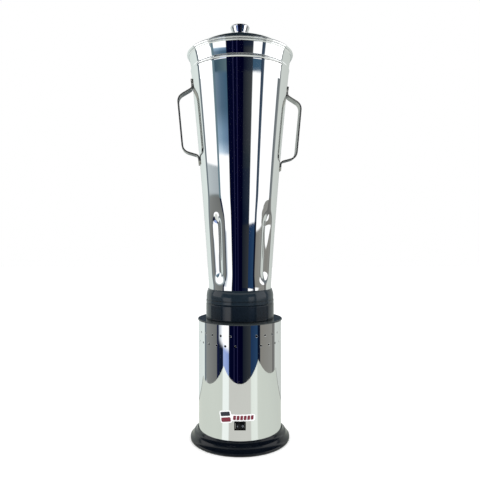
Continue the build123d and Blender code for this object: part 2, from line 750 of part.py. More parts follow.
with BuildPart() as cooling_fan:
    with BuildSketch(Plane.XY.offset(FAN_Z)):
        Circle(FAN_HUB_R)
        Circle(SHAFT_BODY_R, mode=Mode.SUBTRACT)
    extrude(amount=FAN_HEIGHT)
    with BuildSketch(Plane.XY.offset(FAN_Z)):
        Circle(FAN_R)
        Circle(SHAFT_BODY_R, mode=Mode.SUBTRACT)
    extrude(amount=PLATE_THICK)
    with BuildSketch(Plane.XY.offset(FAN_Z + PLATE_THICK)):
        with PolarLocations((FAN_HUB_R + FAN_R) / 2 - FAN_ROOT_SINK, FAN_BLADES):
            Rectangle(FAN_R - FAN_HUB_R, PLATE_THICK)
    extrude(amount=FAN_HEIGHT - PLATE_THICK)
save(cooling_fan.part, "cooling_fan")

with BuildPart() as run_capacitor:
    with BuildSketch(Plane.YZ.offset(-CAPACITOR_LENGTH / 2)):
        with Locations((CAPACITOR_Y, CAPACITOR_Z)):
            Circle(CAPACITOR_R)
    extrude(amount=CAPACITOR_LENGTH)
    fillet(run_capacitor.edges(), CAPACITOR_EDGE_R)
save(run_capacitor.part, "run_capacitor")

with BuildPart() as capacitor_saddle:
    with BuildSketch(Plane.YZ.offset(-SADDLE_WIDTH / 2)):
        with Locations((CAPACITOR_Y, (CAPACITOR_Z + FOOT_FLOOR + PLATE_THICK) / 2)):
            Rectangle(SADDLE_LENGTH, CAPACITOR_Z - FOOT_FLOOR - PLATE_THICK)
        with Locations((CAPACITOR_Y, CAPACITOR_Z)):
            Circle(CAPACITOR_R + SLIP, mode=Mode.SUBTRACT)
    extrude(amount=SADDLE_WIDTH)
save(capacitor_saddle.part, "capacitor_saddle")

with BuildPart() as terminal_block:
    with BuildSketch(Plane.XY.offset(FOOT_FLOOR + PLATE_THICK)):
        with Locations((0, TERMINAL_Y)):
            RectangleRounded(TERMINAL_LENGTH, TERMINAL_WIDTH, TERMINAL_CORNER_R)
    extrude(amount=TERMINAL_HEIGHT)
    with BuildSketch(Plane.XY.offset(FOOT_FLOOR + PLATE_THICK + TERMINAL_HEIGHT)):
        with Locations((0, TERMINAL_Y)):
            with GridLocations(TERMINAL_PITCH, TERMINAL_PITCH, 4, 2):
                Circle(TERMINAL_HOLE_R)
    extrude(amount=-TERMINAL_HOLE_DEPTH, mode=Mode.SUBTRACT)
save(terminal_block.part, "terminal_block")

# ---------------------------------------------------------------- dog coupling
def coupling_half(plate_z, plate_thick, dog_start, dog_height, bore_r):
    """A bored disc with dogs on one face; a negative dog height points them down."""
    dog_face = plate_z if dog_height < 0 else plate_z + plate_thick
    with BuildPart() as half:
        with BuildSketch(Plane.XY.offset(plate_z)):
            Circle(DOG_R)
            Circle(bore_r, mode=Mode.SUBTRACT)
        extrude(amount=plate_thick)
        for dog in range(DOG_COUNT):
            middle = dog_start + dog * 360 / DOG_COUNT
            with BuildSketch(Plane.XY.offset(dog_face)):
                with BuildLine():
                    outer_arc = CenterArc((0, 0), DOG_R, middle - DOG_ANGLE / 2, DOG_ANGLE)
                    inner_arc = CenterArc((0, 0), DOG_INNER_R, middle - DOG_ANGLE / 2, DOG_ANGLE)
                    Line(outer_arc @ 0, inner_arc @ 0)
                    Line(outer_arc @ 1, inner_arc @ 1)
                make_face()
            extrude(amount=dog_height)
    return half.part


save(coupling_half(DRIVE_PLATE_Z, DRIVE_PLATE_THICK, 0, DOG_HEIGHT, SHAFT_R), "drive_coupling")
save(
    coupling_half(
        DRIVEN_PLATE_Z,
        DRIVEN_PLATE_THICK,
        DRIVEN_DOG_START,
        -DOG_HEIGHT,
        BLADE_SHAFT_R,
    ),
    "driven_coupling",
)

# ---------------------------------------------------------------- jug base and blade hub
with BuildPart() as jug_base:
    with BuildSketch(Plane.XZ):
        with BuildLine():
            Polyline(
                (JUG_BASE_TOP_R, JUG_BASE_TOP_Z),
                (CUP_NECK_R + SLIP, JUG_BASE_TOP_Z),
                (CUP_NECK_R + SLIP, CUP_FLOOR_Z),
                (HUB_R + SLIP, CUP_FLOOR_Z),
                (HUB_R + SLIP, JUG_BASE_Z),
                (SPIGOT_BORE_R, JUG_BASE_Z),
                (SPIGOT_BORE_R, JUG_BASE_Z - SPIGOT_DEPTH),
                (SPIGOT_R, JUG_BASE_Z - SPIGOT_DEPTH),
                (SPIGOT_R, JUG_BASE_Z),
                (JUG_BASE_LIP_R - JUG_BASE_LIP_EDGE, JUG_BASE_Z),
                (JUG_BASE_LIP_R, JUG_BASE_Z + JUG_BASE_LIP_EDGE),
                (JUG_BASE_LIP_R, JUG_BASE_GROOVE_Z),
                (JUG_BASE_R - JUG_BASE_GROOVE_DEPTH, JUG_BASE_GROOVE_Z),
                (JUG_BASE_R - JUG_BASE_GROOVE_DEPTH, JUG_BASE_GROOVE_Z + JUG_BASE_GROOVE_WIDTH),
                (JUG_BASE_R, JUG_BASE_GROOVE_Z + JUG_BASE_GROOVE_WIDTH),
                (JUG_BASE_R, JUG_BASE_SHOULDER_Z),
            )
            ThreePointArc(
                (JUG_BASE_R, JUG_BASE_SHOULDER_Z),
                (JUG_BASE_CROWN_R, JUG_BASE_CROWN_Z),
                (JUG_BASE_TOP_R, JUG_BASE_TOP_Z),
            )
        make_face()
    revolve(axis=Axis.Z)
    with BuildSketch(Plane.XY.offset(JUG_BASE_Z)):
        with PolarLocations(COLLAR_BORE_R, KEY_COUNT, start_angle=KEY_START):
            Rectangle(2 * (KEY_INSET + KEY_GAP), KEY_WIDTH + 2 * KEY_GAP)
    extrude(amount=-SPIGOT_DEPTH, mode=Mode.SUBTRACT)
save(jug_base.part, "jug_base")

save(ring(HUB_FLANGE_R, HUB_R + SLIP, CUP_FLOOR_Z + CUP_WALL, GASKET_TOP_Z), "hub_gasket")

save(
    turned(
        (HUB_BORE_R, HUB_LOW_Z),
        (HUB_R, HUB_LOW_Z),
        (HUB_R, GASKET_TOP_Z),
        (HUB_FLANGE_R, GASKET_TOP_Z),
        (HUB_FLANGE_R, GASKET_TOP_Z + HUB_FLANGE_THICK),
        (HUB_R, GASKET_TOP_Z + HUB_CONE_HEIGHT),
        (HUB_NOSE_R, HUB_NOSE_Z),
        (HUB_TIP_R, HUB_TOP_Z),
        (HUB_BORE_R, HUB_TOP_Z),
    ),
    "bearing_housing",
)

with BuildPart() as hub_nut:
    with BuildSketch(Plane.XY.offset(HUB_LOW_Z)):
        RegularPolygon(HUB_NUT_R, 6)
        Circle(HUB_R + SLIP, mode=Mode.SUBTRACT)
    extrude(amount=JUG_BASE_Z - HUB_LOW_Z)
save(hub_nut.part, "hub_nut")

for bush_name, bush_low_z, bush_high_z in (
    ("lower_bush", HUB_LOW_Z, HUB_LOW_Z + BUSH_LENGTH),
    ("upper_bush", SHAFT_SEAL_LOW_Z - BUSH_LENGTH, SHAFT_SEAL_LOW_Z),
):
    save(ring(HUB_BORE_R - SLIP, BLADE_SHAFT_R + RUN_CLEARANCE, bush_low_z, bush_high_z), bush_name)
save(ring(HUB_BORE_R - SLIP, SHAFT_SEAL_BORE_R, SHAFT_SEAL_LOW_Z, HUB_TOP_Z), "shaft_seal")

# ---------------------------------------------------------------- blades
UPPER_BLADE_Z = LOWER_BLADE_Z + BLADE_THICK + SPACER_HEIGHT
WASHER_Z = UPPER_BLADE_Z + BLADE_THICK
NUT_Z = WASHER_Z + WASHER_THICK
save(
    turned(
        (0, BLADE_SHAFT_LOW_Z),
        (BLADE_SHAFT_R, BLADE_SHAFT_LOW_Z),
        (BLADE_SHAFT_R, BLADE_SHAFT_COLLAR_Z),
        (BLADE_SHAFT_COLLAR_R, BLADE_SHAFT_COLLAR_Z),
        (BLADE_SHAFT_COLLAR_R, LOWER_BLADE_Z),
        (BLADE_SHAFT_R, LOWER_BLADE_Z),
        (BLADE_SHAFT_R, NUT_Z),
        (M4_R, NUT_Z + STUD_STEP),
        (M4_R, NUT_Z + STUD_LENGTH),
        (0, NUT_Z + STUD_LENGTH),
    ),
    "blade_shaft",
)


def blade(flat_z, tip_shift, angle):
    """A two-armed blade bent from strip, with both tips shifted up or down."""
    plane = upright_plane(angle)
    middle_z = flat_z + BLADE_THICK / 2
    with BuildPart() as body:
        with BuildSketch(plane):
            with BuildLine():
                Polyline(
                    (-BLADE_TIP_R, middle_z + tip_shift),
                    (-BLADE_FLAT, middle_z),
                    (BLADE_FLAT, middle_z),
                    (BLADE_TIP_R, middle_z + tip_shift),
                )
            trace(line_width=BLADE_THICK)
        extrude(amount=BLADE_WIDTH / 2, both=True)
        with BuildSketch(Plane.XY.offset(flat_z - BLADE_THICK)):
            Circle(BLADE_SHAFT_R)
        extrude(amount=3 * BLADE_THICK, mode=Mode.SUBTRACT)
    return body.part


save(blade(LOWER_BLADE_Z, -LOWER_BLADE_DROP, LOWER_BLADE_ANGLE), "lower_blade")
save(blade(UPPER_BLADE_Z, UPPER_BLADE_RISE, UPPER_BLADE_ANGLE), "upper_blade")
save(ring(SPACER_R, BLADE_SHAFT_R, LOWER_BLADE_Z + BLADE_THICK, UPPER_BLADE_Z), "blade_spacer")
save(ring(BLADE_WASHER_R, BLADE_SHAFT_R, WASHER_Z, NUT_Z), "blade_washer")

with BuildPart() as blade_cap_nut:
    with BuildSketch(Plane.XY.offset(NUT_Z)):
        RegularPolygon(CAP_NUT_R, 6)
    extrude(amount=CAP_NUT_HEIGHT / 2)
    with Locations((0, 0, NUT_Z + CAP_NUT_HEIGHT / 2)):
        Sphere(CAP_NUT_HEIGHT / 2)
    add(
        turned(
            (0, NUT_Z),
            (BLADE_SHAFT_R, NUT_Z),
            (BLADE_SHAFT_R, NUT_Z + STUD_STEP),
            (M4_R, NUT_Z + STUD_STEP),
            (M4_R, NUT_Z + STUD_LENGTH),
            (0, NUT_Z + STUD_LENGTH),
        ),
        mode=Mode.SUBTRACT,
    )
save(blade_cap_nut.part, "blade_cap_nut")

# ---------------------------------------------------------------- cup
def flute_tools(radius):
    """Rounded bars that press the flutes; they lean with the wall and sink into it."""
    low_r = cup_radius(FLUTE_LOW_Z) - FLUTE_DEPTH + FLUTE_R
    high_r = cup_radius(FLUTE_HIGH_Z) - FLUTE_DEPTH + FLUTE_R
    lean = degrees(atan2(high_r - low_r, FLUTE_HIGH_Z - FLUTE_LOW_Z))
    length = sqrt((high_r - low_r) ** 2 + (FLUTE_HIGH_Z - FLUTE_LOW_Z) ** 2)
    middle = ((low_r + high_r) / 2, 0, (FLUTE_LOW_Z + FLUTE_HIGH_Z) / 2)
    with BuildPart() as tools:
        with PolarLocations(0, FLUTE_COUNT, start_angle=CUP_TURN + FLUTE_START):
            with Locations(Location(middle, (0, lean, 0))):
                Cylinder(radius, length)
            with Locations((low_r, 0, FLUTE_LOW_Z), (high_r, 0, FLUTE_HIGH_Z)):
                Sphere(radius)
    return tools.part


def cup_solid(inset, floor_z, top_z, flute_grow):
    """The cup filled solid, inset from its outer surface and cut by the flutes."""
    with BuildPart() as body:
        with BuildSketch(Plane.XZ):
            with BuildLine():
                climb = (BEAD_LOW_Z - CUP_NECK_Z) / (CUP_WALL_STATIONS - 1)
                heights = [CUP_NECK_Z + climb * station for station in range(CUP_WALL_STATIONS)]
                wall = Spline(*[(cup_radius(z) - inset, z) for z in heights])
                bead = ThreePointArc(
                    wall @ 1,
                    (cup_radius(BEAD_Z) + BEAD_STAND - inset, BEAD_Z),
                    (LIP_FOOT_R - inset, LIP_FOOT_Z),
                )
                lip = ThreePointArc(
                    bead @ 1,
                    ((LIP_FOOT_R + RIM_R) / 2 - LIP_HOLLOW - inset, (LIP_FOOT_Z + RIM_Z) / 2),
                    (RIM_R - inset, RIM_Z),
                )
                Polyline(
                    lip @ 1,
                    (RIM_R - inset, top_z),
                    (0, top_z),
                    (0, floor_z),
                    (CUP_NECK_R - inset, floor_z),
                    wall @ 0,
                )
            make_face()
        revolve(axis=Axis.Z)
        add(flute_tools(FLUTE_R + flute_grow), mode=Mode.SUBTRACT)
    return body.part


cup_inside = cup_solid(CUP_WALL, CUP_FLOOR_Z + CUP_WALL, RIM_Z + 2 * RIM_ROLL_R, CUP_WALL)
with BuildPart() as whole_cup:
    add(cup_solid(0, CUP_FLOOR_Z, RIM_Z + SLIP, 0))
    with BuildSketch(Plane.XZ):
        with Locations((RIM_R, RIM_Z)):
            Circle(RIM_ROLL_R)
    revolve(axis=Axis.Z)
    add(cup_inside, mode=Mode.SUBTRACT)
    with BuildSketch(Plane.XY.offset(CUP_FLOOR_Z)):
        Circle(HUB_R + SLIP)
    extrude(amount=2 * CUP_WALL, mode=Mode.SUBTRACT)
for cup_name, cup_low_z, cup_high_z in (
    ("cup_neck", CUP_FLOOR_Z, CUP_SEAM_Z),
    ("cup_wall", CUP_SEAM_Z, BEAD_LOW_Z),
    ("cup_collar", BEAD_LOW_Z, RIM_Z + RIM_ROLL_R),
):
    with BuildPart() as cup_piece:
        add(whole_cup.part)
        add(disc(RIM_R + 2 * RIM_ROLL_R, cup_low_z, cup_high_z), mode=Mode.INTERSECT)
    save(cup_piece.part, cup_name)


# ---------------------------------------------------------------- handles
def strip_handle(drop, angle):
    """One bent strip: a tab on the wall, a branch out, a grip along the wall and back."""
    on_wall = STRIP_THICK / 2 - WELD_SINK
    stations = (
        (HANDLE_TAB_TOP_Z, on_wall),
        (HANDLE_TOP_Z, on_wall),
        (HANDLE_TOP_CORNER_Z, HANDLE_REACH),
        (HANDLE_LOW_CORNER_Z, HANDLE_REACH),
        (HANDLE_LOW_Z, on_wall),
        (HANDLE_TAB_LOW_Z, on_wall),
    )
    path = [(cup_radius(z - drop) + stand_off, z - drop) for z, stand_off in stations]
    bends = [HANDLE_ROOT_BEND_R, HANDLE_CORNER_R, HANDLE_CORNER_R, HANDLE_ROOT_BEND_R]
    with BuildPart() as body:
        with BuildSketch(upright_plane(angle)):
            with BuildLine():
                FilletPolyline(*path, radius=bends)
            trace(line_width=STRIP_THICK)
        extrude(amount=STRIP_WIDTH / 2, both=True)
    return body.part


save(strip_handle(0, 180 + CUP_TURN), "handle_left")
save(strip_handle(RIGHT_HANDLE_DROP, CUP_TURN), "handle_right")

# ---------------------------------------------------------------- lid
with BuildPart() as lid_shell:
    with BuildSketch(Plane.XZ):
        with BuildLine():
            dome = ThreePointArc(
                (LID_R - LID_ROLL_R, LID_ROLL_Z + LID_ROLL_R),
                (LID_BROW_R, LID_BROW_Z),
                (LID_TOP_FLAT_R, LID_TOP_Z),
            )
            under_dome = ThreePointArc(
                (LID_R - LID_ROLL_R, LID_ROLL_Z + LID_ROLL_R - LID_SHEET),
                (LID_BROW_R, LID_BROW_Z - LID_SHEET),
                (LID_TOP_FLAT_R, LID_TOP_Z - LID_SHEET),
            )
            Line(dome @ 0, under_dome @ 0)
            Polyline(dome @ 1, (0, LID_TOP_Z), (0, LID_TOP_Z - LID_SHEET), under_dome @ 1)
        make_face()
        with Locations((LID_R - LID_ROLL_R, LID_ROLL_Z)):
            Circle(LID_ROLL_R)
    revolve(axis=Axis.Z)
    with BuildSketch(Plane.XY.offset(PLUG_LOW_Z)):
        Circle(PLUG_R)
        Circle(PLUG_R - LID_SHEET, mode=Mode.SUBTRACT)
    extrude(amount=PLUG_HEIGHT)
    with BuildSketch(Plane.XY.offset(LID_TOP_Z)):
        Circle(M5_R + SLIP)
    extrude(amount=-2 * LID_SHEET, mode=Mode.SUBTRACT)
save(lid_shell.part, "lid_shell")

save(ring(PLUG_R + LID_SEAL_THICK, PLUG_R + SLIP / 2, LID_SEAL_LOW_Z, LID_SEAL_TOP_Z), "lid_seal")

with BuildPart() as lid_knob:
    add(
        turned(
            (0, LID_TOP_Z),
            (KNOB_FOOT_R, LID_TOP_Z),
            (KNOB_WAIST_R, KNOB_WAIST_Z),
            (KNOB_FLARE_R, KNOB_FLARE_Z),
            (KNOB_EDGE_R, KNOB_EDGE_Z),
            (KNOB_TOP_R, KNOB_TOP_Z),
            (0, KNOB_TOP_Z),
        )
    )
    with BuildSketch(Plane.XY.offset(LID_TOP_Z)):
        Circle(M5_R)
    extrude(amount=KNOB_HOLE_DEPTH, mode=Mode.SUBTRACT)
save(lid_knob.part, "lid_knob")

save(
    ring(
        LID_WASHER_R,
        M5_R + SLIP,
        LID_TOP_Z - LID_SHEET - LID_WASHER_THICK,
        LID_TOP_Z - LID_SHEET,
    ),
    "lid_knob_washer",
)

with BuildPart() as lid_knob_screw:
    with BuildSketch(Plane.XY.offset(LID_TOP_Z - LID_SHEET - LID_WASHER_THICK)):
        Circle(M5_HEAD_R)
    extrude(amount=-M5_HEAD_HEIGHT)
    with BuildSketch(Plane.XY.offset(LID_TOP_Z - LID_SHEET - LID_WASHER_THICK)):
        Circle(M5_R)
    extrude(amount=KNOB_HOLE_DEPTH)
    with BuildSketch(Plane.XY.offset(LID_TOP_Z - LID_SHEET - LID_WASHER_THICK - M5_HEAD_HEIGHT)):
        RegularPolygon(M5_R, 6)
    extrude(amount=M5_HEAD_HEIGHT / 2, mode=Mode.SUBTRACT)
save(lid_knob_screw.part, "lid_knob_screw")
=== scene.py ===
"""Looks of a tall commercial blender: mirror-polished cup, cabinet, lid and black rings.

Lengths are in metres and +Z is up. The switch faces -Y. Angles around the axis
are in degrees from +X, anticlockwise, as in the CAD frame.
"""
from math import atan2, cos, pi, radians, sin, sqrt, tan

import bpy
import numpy as np
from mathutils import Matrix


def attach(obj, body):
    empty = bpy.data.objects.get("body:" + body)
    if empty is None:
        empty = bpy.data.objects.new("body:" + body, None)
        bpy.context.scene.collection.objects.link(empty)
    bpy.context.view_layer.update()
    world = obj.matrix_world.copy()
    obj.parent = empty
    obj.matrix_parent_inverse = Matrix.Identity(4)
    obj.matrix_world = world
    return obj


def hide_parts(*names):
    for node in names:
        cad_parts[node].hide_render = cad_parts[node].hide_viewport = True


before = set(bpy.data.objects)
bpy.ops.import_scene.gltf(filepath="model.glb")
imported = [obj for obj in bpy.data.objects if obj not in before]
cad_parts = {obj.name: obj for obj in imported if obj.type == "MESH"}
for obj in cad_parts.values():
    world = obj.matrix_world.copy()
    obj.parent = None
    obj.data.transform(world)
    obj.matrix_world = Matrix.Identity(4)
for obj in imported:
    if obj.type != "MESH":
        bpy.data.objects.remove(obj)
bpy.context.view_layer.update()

MM = 0.001

# ---------------------------------------------------------------- sizes, in millimetres
SHELL_R = 80.0
SHELL_WALL = 0.8
SHELL_LOW_Z = 5.0
SHELL_TOP_Z = 230.0
COVER_TOP_Z = 232.8
JUG_SEAT_Z = 263.0

VENT_R = 2.05
VENT_PITCH = 13.2
VENTS_PER_ROW = 12
VENT_FIRST = -68.1
VENT_UPPER_Z = 210.0
VENT_LOWER_Z = 192.0
VENT_CELL_HALF = 9.0
VENT_DISH_R = 2.5
VENT_DISH_DEPTH = 0.05
HOLE_EDGE_SLOPE = 6.0  # lean of the shading at the far end of a hole

CUP_TURN = 4.5
CUP_WALL = 1.0
CUP_FLOOR_Z = 272.0
CUP_NECK_Z = 298.0
CUP_NECK_R = 60.6
CUP_HOLE_R = 15.9
CUP_FLARE = 0.062  # widening for each millimetre above the neck
CUP_CURVE = 5.2e-5  # further widening for its square
BEAD_LOW_Z = 709.8
BEAD_Z = 711.4
BEAD_STAND = 0.8
LIP_FOOT_R = 94.4
LIP_FOOT_Z = 713.4
RIM_R = 99.2
RIM_Z = 738.0
RIM_ROLL_R = 1.7

# a flute is a narrow core in a wide skirt; each fades in and out between two heights
CORE_DEPTH = 4.2
CORE_EXTRA = 1.3  # its further depth at the top
CORE_WIDTH = 9.4
CORE_START = (300, 325)
CORE_DEEPENS = (320, 410)
CORE_END = (413, 440)
SKIRT_DEPTH = 1.7
SKIRT_WIDTH = 18.0
SKIRT_START = (294, 324)
SKIRT_END = (426, 470)
SHALLOW_FLUTE = 0.86  # share of the full depth in the front right flute

STRIP_WIDTH = 20.0
STRIP_THICK = 3.2
STRIP_EDGE_R = 0.7
STRIP_SINK = 0.3  # how far its tabs are pressed into the wall
HANDLE_REACH = 31.0
# the left strip's bends: height, whether it stands off the wall, radius
HANDLE_BENDS = (
    (694, False, 0),
    (677, False, 8),
    (660, True, 18),
    (555.5, True, 18),
    (547, False, 8),
    (530, False, 0),
)
RIGHT_HANDLE_DROP = 10.5

LID_ROLL_R = 2.1
LID_ROLL_CENTRE = (100.9, 741.6)
LID_SHEET = 0.8
LID_TOP_Z = 775.0
LID_HOLE_R = 2.6
KNOB_TOP_Z = 800.0

SWITCH_Z = 50.0
BEZEL_THICK = 2.2
ROCKER_PIVOT_Y = -78.6
ROCKER_TILT = 7.0
ROCKER_HALF = 8.2
ROCKER_MIDDLE = 2.4  # from the pivot to the dished front
ROCKER_END = 3.6
MARK_X = 4.6
MARK_LIFT = 0.06
GROMMET_Z = 34.0
GROMMET_HOLE_R = 6.6
GROMMET_DISH_R = 7.5
GROMMET_CELL_HALF = 10.0
FOOT_TOP_Z = 22.0

ROUND = 180  # steps around a turned piece


# ---------------------------------------------------------------- mesh helpers
def new_piece(name, points, faces, body, slot, normals=None):
    """A smooth-shaded mesh in metres from points in millimetres, riding on a CAD body."""
    mesh = bpy.data.meshes.new(name)
    mesh.from_pydata([tuple(MM * c for c in point) for point in points], [], faces)
    mesh.validate()
    for polygon in mesh.polygons:
        polygon.use_smooth = True
    if normals is not None:
        mesh.normals_split_custom_set_from_vertices([tuple(n) for n in normals])
    piece = bpy.data.objects.new(name, mesh)
    bpy.context.scene.collection.objects.link(piece)
    piece.data.materials.append(FINISHES[slot])
    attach(piece, body)
    return piece


def skin(rows, closed=False, capped=False):
    """Points and faces of a skin over rows of points that each run in a ring.

    A row of one point is a pole. A closed skin joins its last row to its first,
    and a capped one has a flat face over its first and its last row.
    """
    points = [tuple(point) for row in rows for point in row]
    starts = np.cumsum([0] + [len(row) for row in rows])
    count = max(len(row) for row in rows)
    order = list(range(len(rows))) + ([0] if closed else [])
    faces = []
    for a, b in zip(order, order[1:]):
        for i in range(count):
            j = (i + 1) % count
            corners = [
                starts[a] + (i if len(rows[a]) > 1 else 0),
                starts[a] + (j if len(rows[a]) > 1 else 0),
                starts[b] + (j if len(rows[b]) > 1 else 0),
                starts[b] + (i if len(rows[b]) > 1 else 0),
            ]
            faces.append([int(c) for c in dict.fromkeys(corners)])
    if capped:
        faces.append([int(starts[0] + i) for i in reversed(range(count))])
        faces.append([int(starts[-2] + i) for i in range(count)])
    return points, faces


BEND_SHARE = 0.42  # the most of a side that one bend takes
BEND_GUARD = 1.15  # where the close point stands, as a share of the bend's reach


def softened(outline, closed=True, steps=5):
    """An outline of (x, y, corner radius) with its corners rounded.

    Each bend keeps a close point on the straight at both its ends, which holds
    the smooth shading of the flat beside it.
    """
    count = len(outline)
    made = []
    for i, (x, y, radius) in enumerate(outline):
        corner = np.array((x, y), float)
        if radius == 0 or (not closed and i in (0, count - 1)):
            made.append(corner)
            continue
        before = np.array(outline[i - 1][:2], float) - corner
        after = np.array(outline[(i + 1) % count][:2], float) - corner
        turn = atan2(
            abs(before[0] * after[1] - before[1] * after[0]), -float(before @ after)
        )
        reach = radius * tan(turn / 2)
        reach = min(reach, *(BEND_SHARE * np.linalg.norm(side) for side in (before, after)))
        before /= np.linalg.norm(before)
        after /= np.linalg.norm(after)
        made.append(corner + before * reach * BEND_GUARD)
        for step in range(steps + 1):
            t = step / steps
            start = corner + before * reach
            end = corner + after * reach
            made.append((1 - t) ** 2 * start + 2 * t * (1 - t) * corner + t**2 * end)
        made.append(corner + after * reach * BEND_GUARD)
    return made


def arc_through(first, middle, last, steps):
    """Points on the circle arc through three points."""
    (ax, ay), (bx, by), (cx, cy) = first, middle, last
    d = 2 * (ax * (by - cy) + bx * (cy - ay) + cx * (ay - by))
    a2, b2, c2 = ax**2 + ay**2, bx**2 + by**2, cx**2 + cy**2
    ux = (a2 * (by - cy) + b2 * (cy - ay) + c2 * (ay - by)) / d
    uy = (a2 * (cx - bx) + b2 * (ax - cx) + c2 * (bx - ax)) / d
    radius = sqrt((ax - ux) ** 2 + (ay - uy) ** 2)
    angles = [atan2(y - uy, x - ux) for x, y in (first, middle, last)]
    sweep = (angles[2] - angles[0]) % (2 * pi)
    if (angles[1] - angles[0]) % (2 * pi) > sweep:
        sweep -= 2 * pi
    return [
        (
            ux + radius * cos(angles[0] + sweep * step / steps),
            uy + radius * sin(angles[0] + sweep * step / steps),
        )
        for step in range(steps + 1)
    ]


def circle_part(centre, radius, first, last, steps):
    """Points on a circle from one direction to another, in degrees."""
    return [
        (
            centre[0] + radius * cos(radians(first + (last - first) * step / steps)),
            centre[1] + radius * sin(radians(first + (last - first) * step / steps)),
        )
        for step in range(steps + 1)
    ]


def turned_rows(profile, count=ROUND):
    """Rows of points from an upright profile of (radius, height) turned about Z."""
    around = [(cos(2 * pi * i / count), sin(2 * pi * i / count)) for i in range(count)]
    return [
        [(0.0, 0.0, z)] if r < 1e-6 else [(r * c, r * s, z) for c, s in around]
        for r, z in profile
    ]


def turned(name, profile, body, slot, closed=True, steps=5):
    """A piece turned about Z from a profile of (radius, height, corner radius)."""
    points, faces = skin(turned_rows(softened(profile, closed, steps)), closed)
    return new_piece(name, points, faces, body, slot)


# ---------------------------------------------------------------- materials
NOISE_LOW = 0.3  # the range in which a noise mostly stays
NOISE_HIGH = 0.7
RELIEF_DEPTH = 0.0004  # metres


def linear(red, green, blue):
    """A display colour of 0 to 255 as the linear colour that the shaders take."""
    return tuple(
        c / 255 / 12.92 if c / 255 <= 0.04045 else ((c / 255 + 0.055) / 1.055) ** 2.4
        for c in (red, green, blue)
    ) + (1.0,)


def add_node(tree, kind, **values):
    """A shader node with its settings and input values by name."""
    node = tree.nodes.new(kind)
    for key, value in values.items():
        if key in node.inputs:
            node.inputs[key].default_value = value
        else:
            setattr(node, key, value)
    return node


def noise(tree, place, grain, detail):
    """A noise of so many grains a metre along each axis."""
    mapping = add_node(tree, "ShaderNodeMapping", Scale=grain)
    texture = add_node(tree, "ShaderNodeTexNoise", Scale=1.0, Detail=detail)
    tree.links.new(place, mapping.inputs["Vector"])
    tree.links.new(mapping.outputs["Vector"], texture.inputs["Vector"])
    return texture.outputs["Fac"]


def finish(name, dark, light, rough, metallic, grain, fine, bump, shine=0.5):
    """A procedural finish: a colour that drifts, a roughness that varies and a fine grain."""
    material = bpy.data.materials.new("look_" + name)
    material.use_nodes = True
    tree = material.node_tree
    shader = tree.nodes["Principled BSDF"]
    place = add_node(tree, "ShaderNodeTexCoord").outputs["Object"]
    broad = noise(tree, place, grain, 3.0)
    close = noise(tree, place, fine, 4.0)

    tint = add_node(tree, "ShaderNodeMix", data_type="RGBA")
    tint.inputs["A"].default_value = linear(*dark)
    tint.inputs["B"].default_value = linear(*light)
    tree.links.new(broad, tint.inputs["Factor"])
    tree.links.new(tint.outputs["Result"], shader.inputs["Base Color"])

    roughness = add_node(tree, "ShaderNodeMapRange")
    roughness.inputs["From Min"].default_value = NOISE_LOW
    roughness.inputs["From Max"].default_value = NOISE_HIGH
    roughness.inputs["To Min"].default_value = rough[0]
    roughness.inputs["To Max"].default_value = rough[1]
    tree.links.new(close, roughness.inputs["Value"])
    tree.links.new(roughness.outputs["Result"], shader.inputs["Roughness"])

    relief = add_node(tree, "ShaderNodeBump", Strength=bump, Distance=RELIEF_DEPTH)
    tree.links.new(close, relief.inputs["Height"])
    tree.links.new(relief.outputs["Normal"], shader.inputs["Normal"])

    shader.inputs["Metallic"].default_value = metallic
    shader.inputs["Specular IOR Level"].default_value = shine
    return material


STEEL_ROUND = (30, 30, 900)  # grain that runs round the axis
CAST = (500, 500, 500)
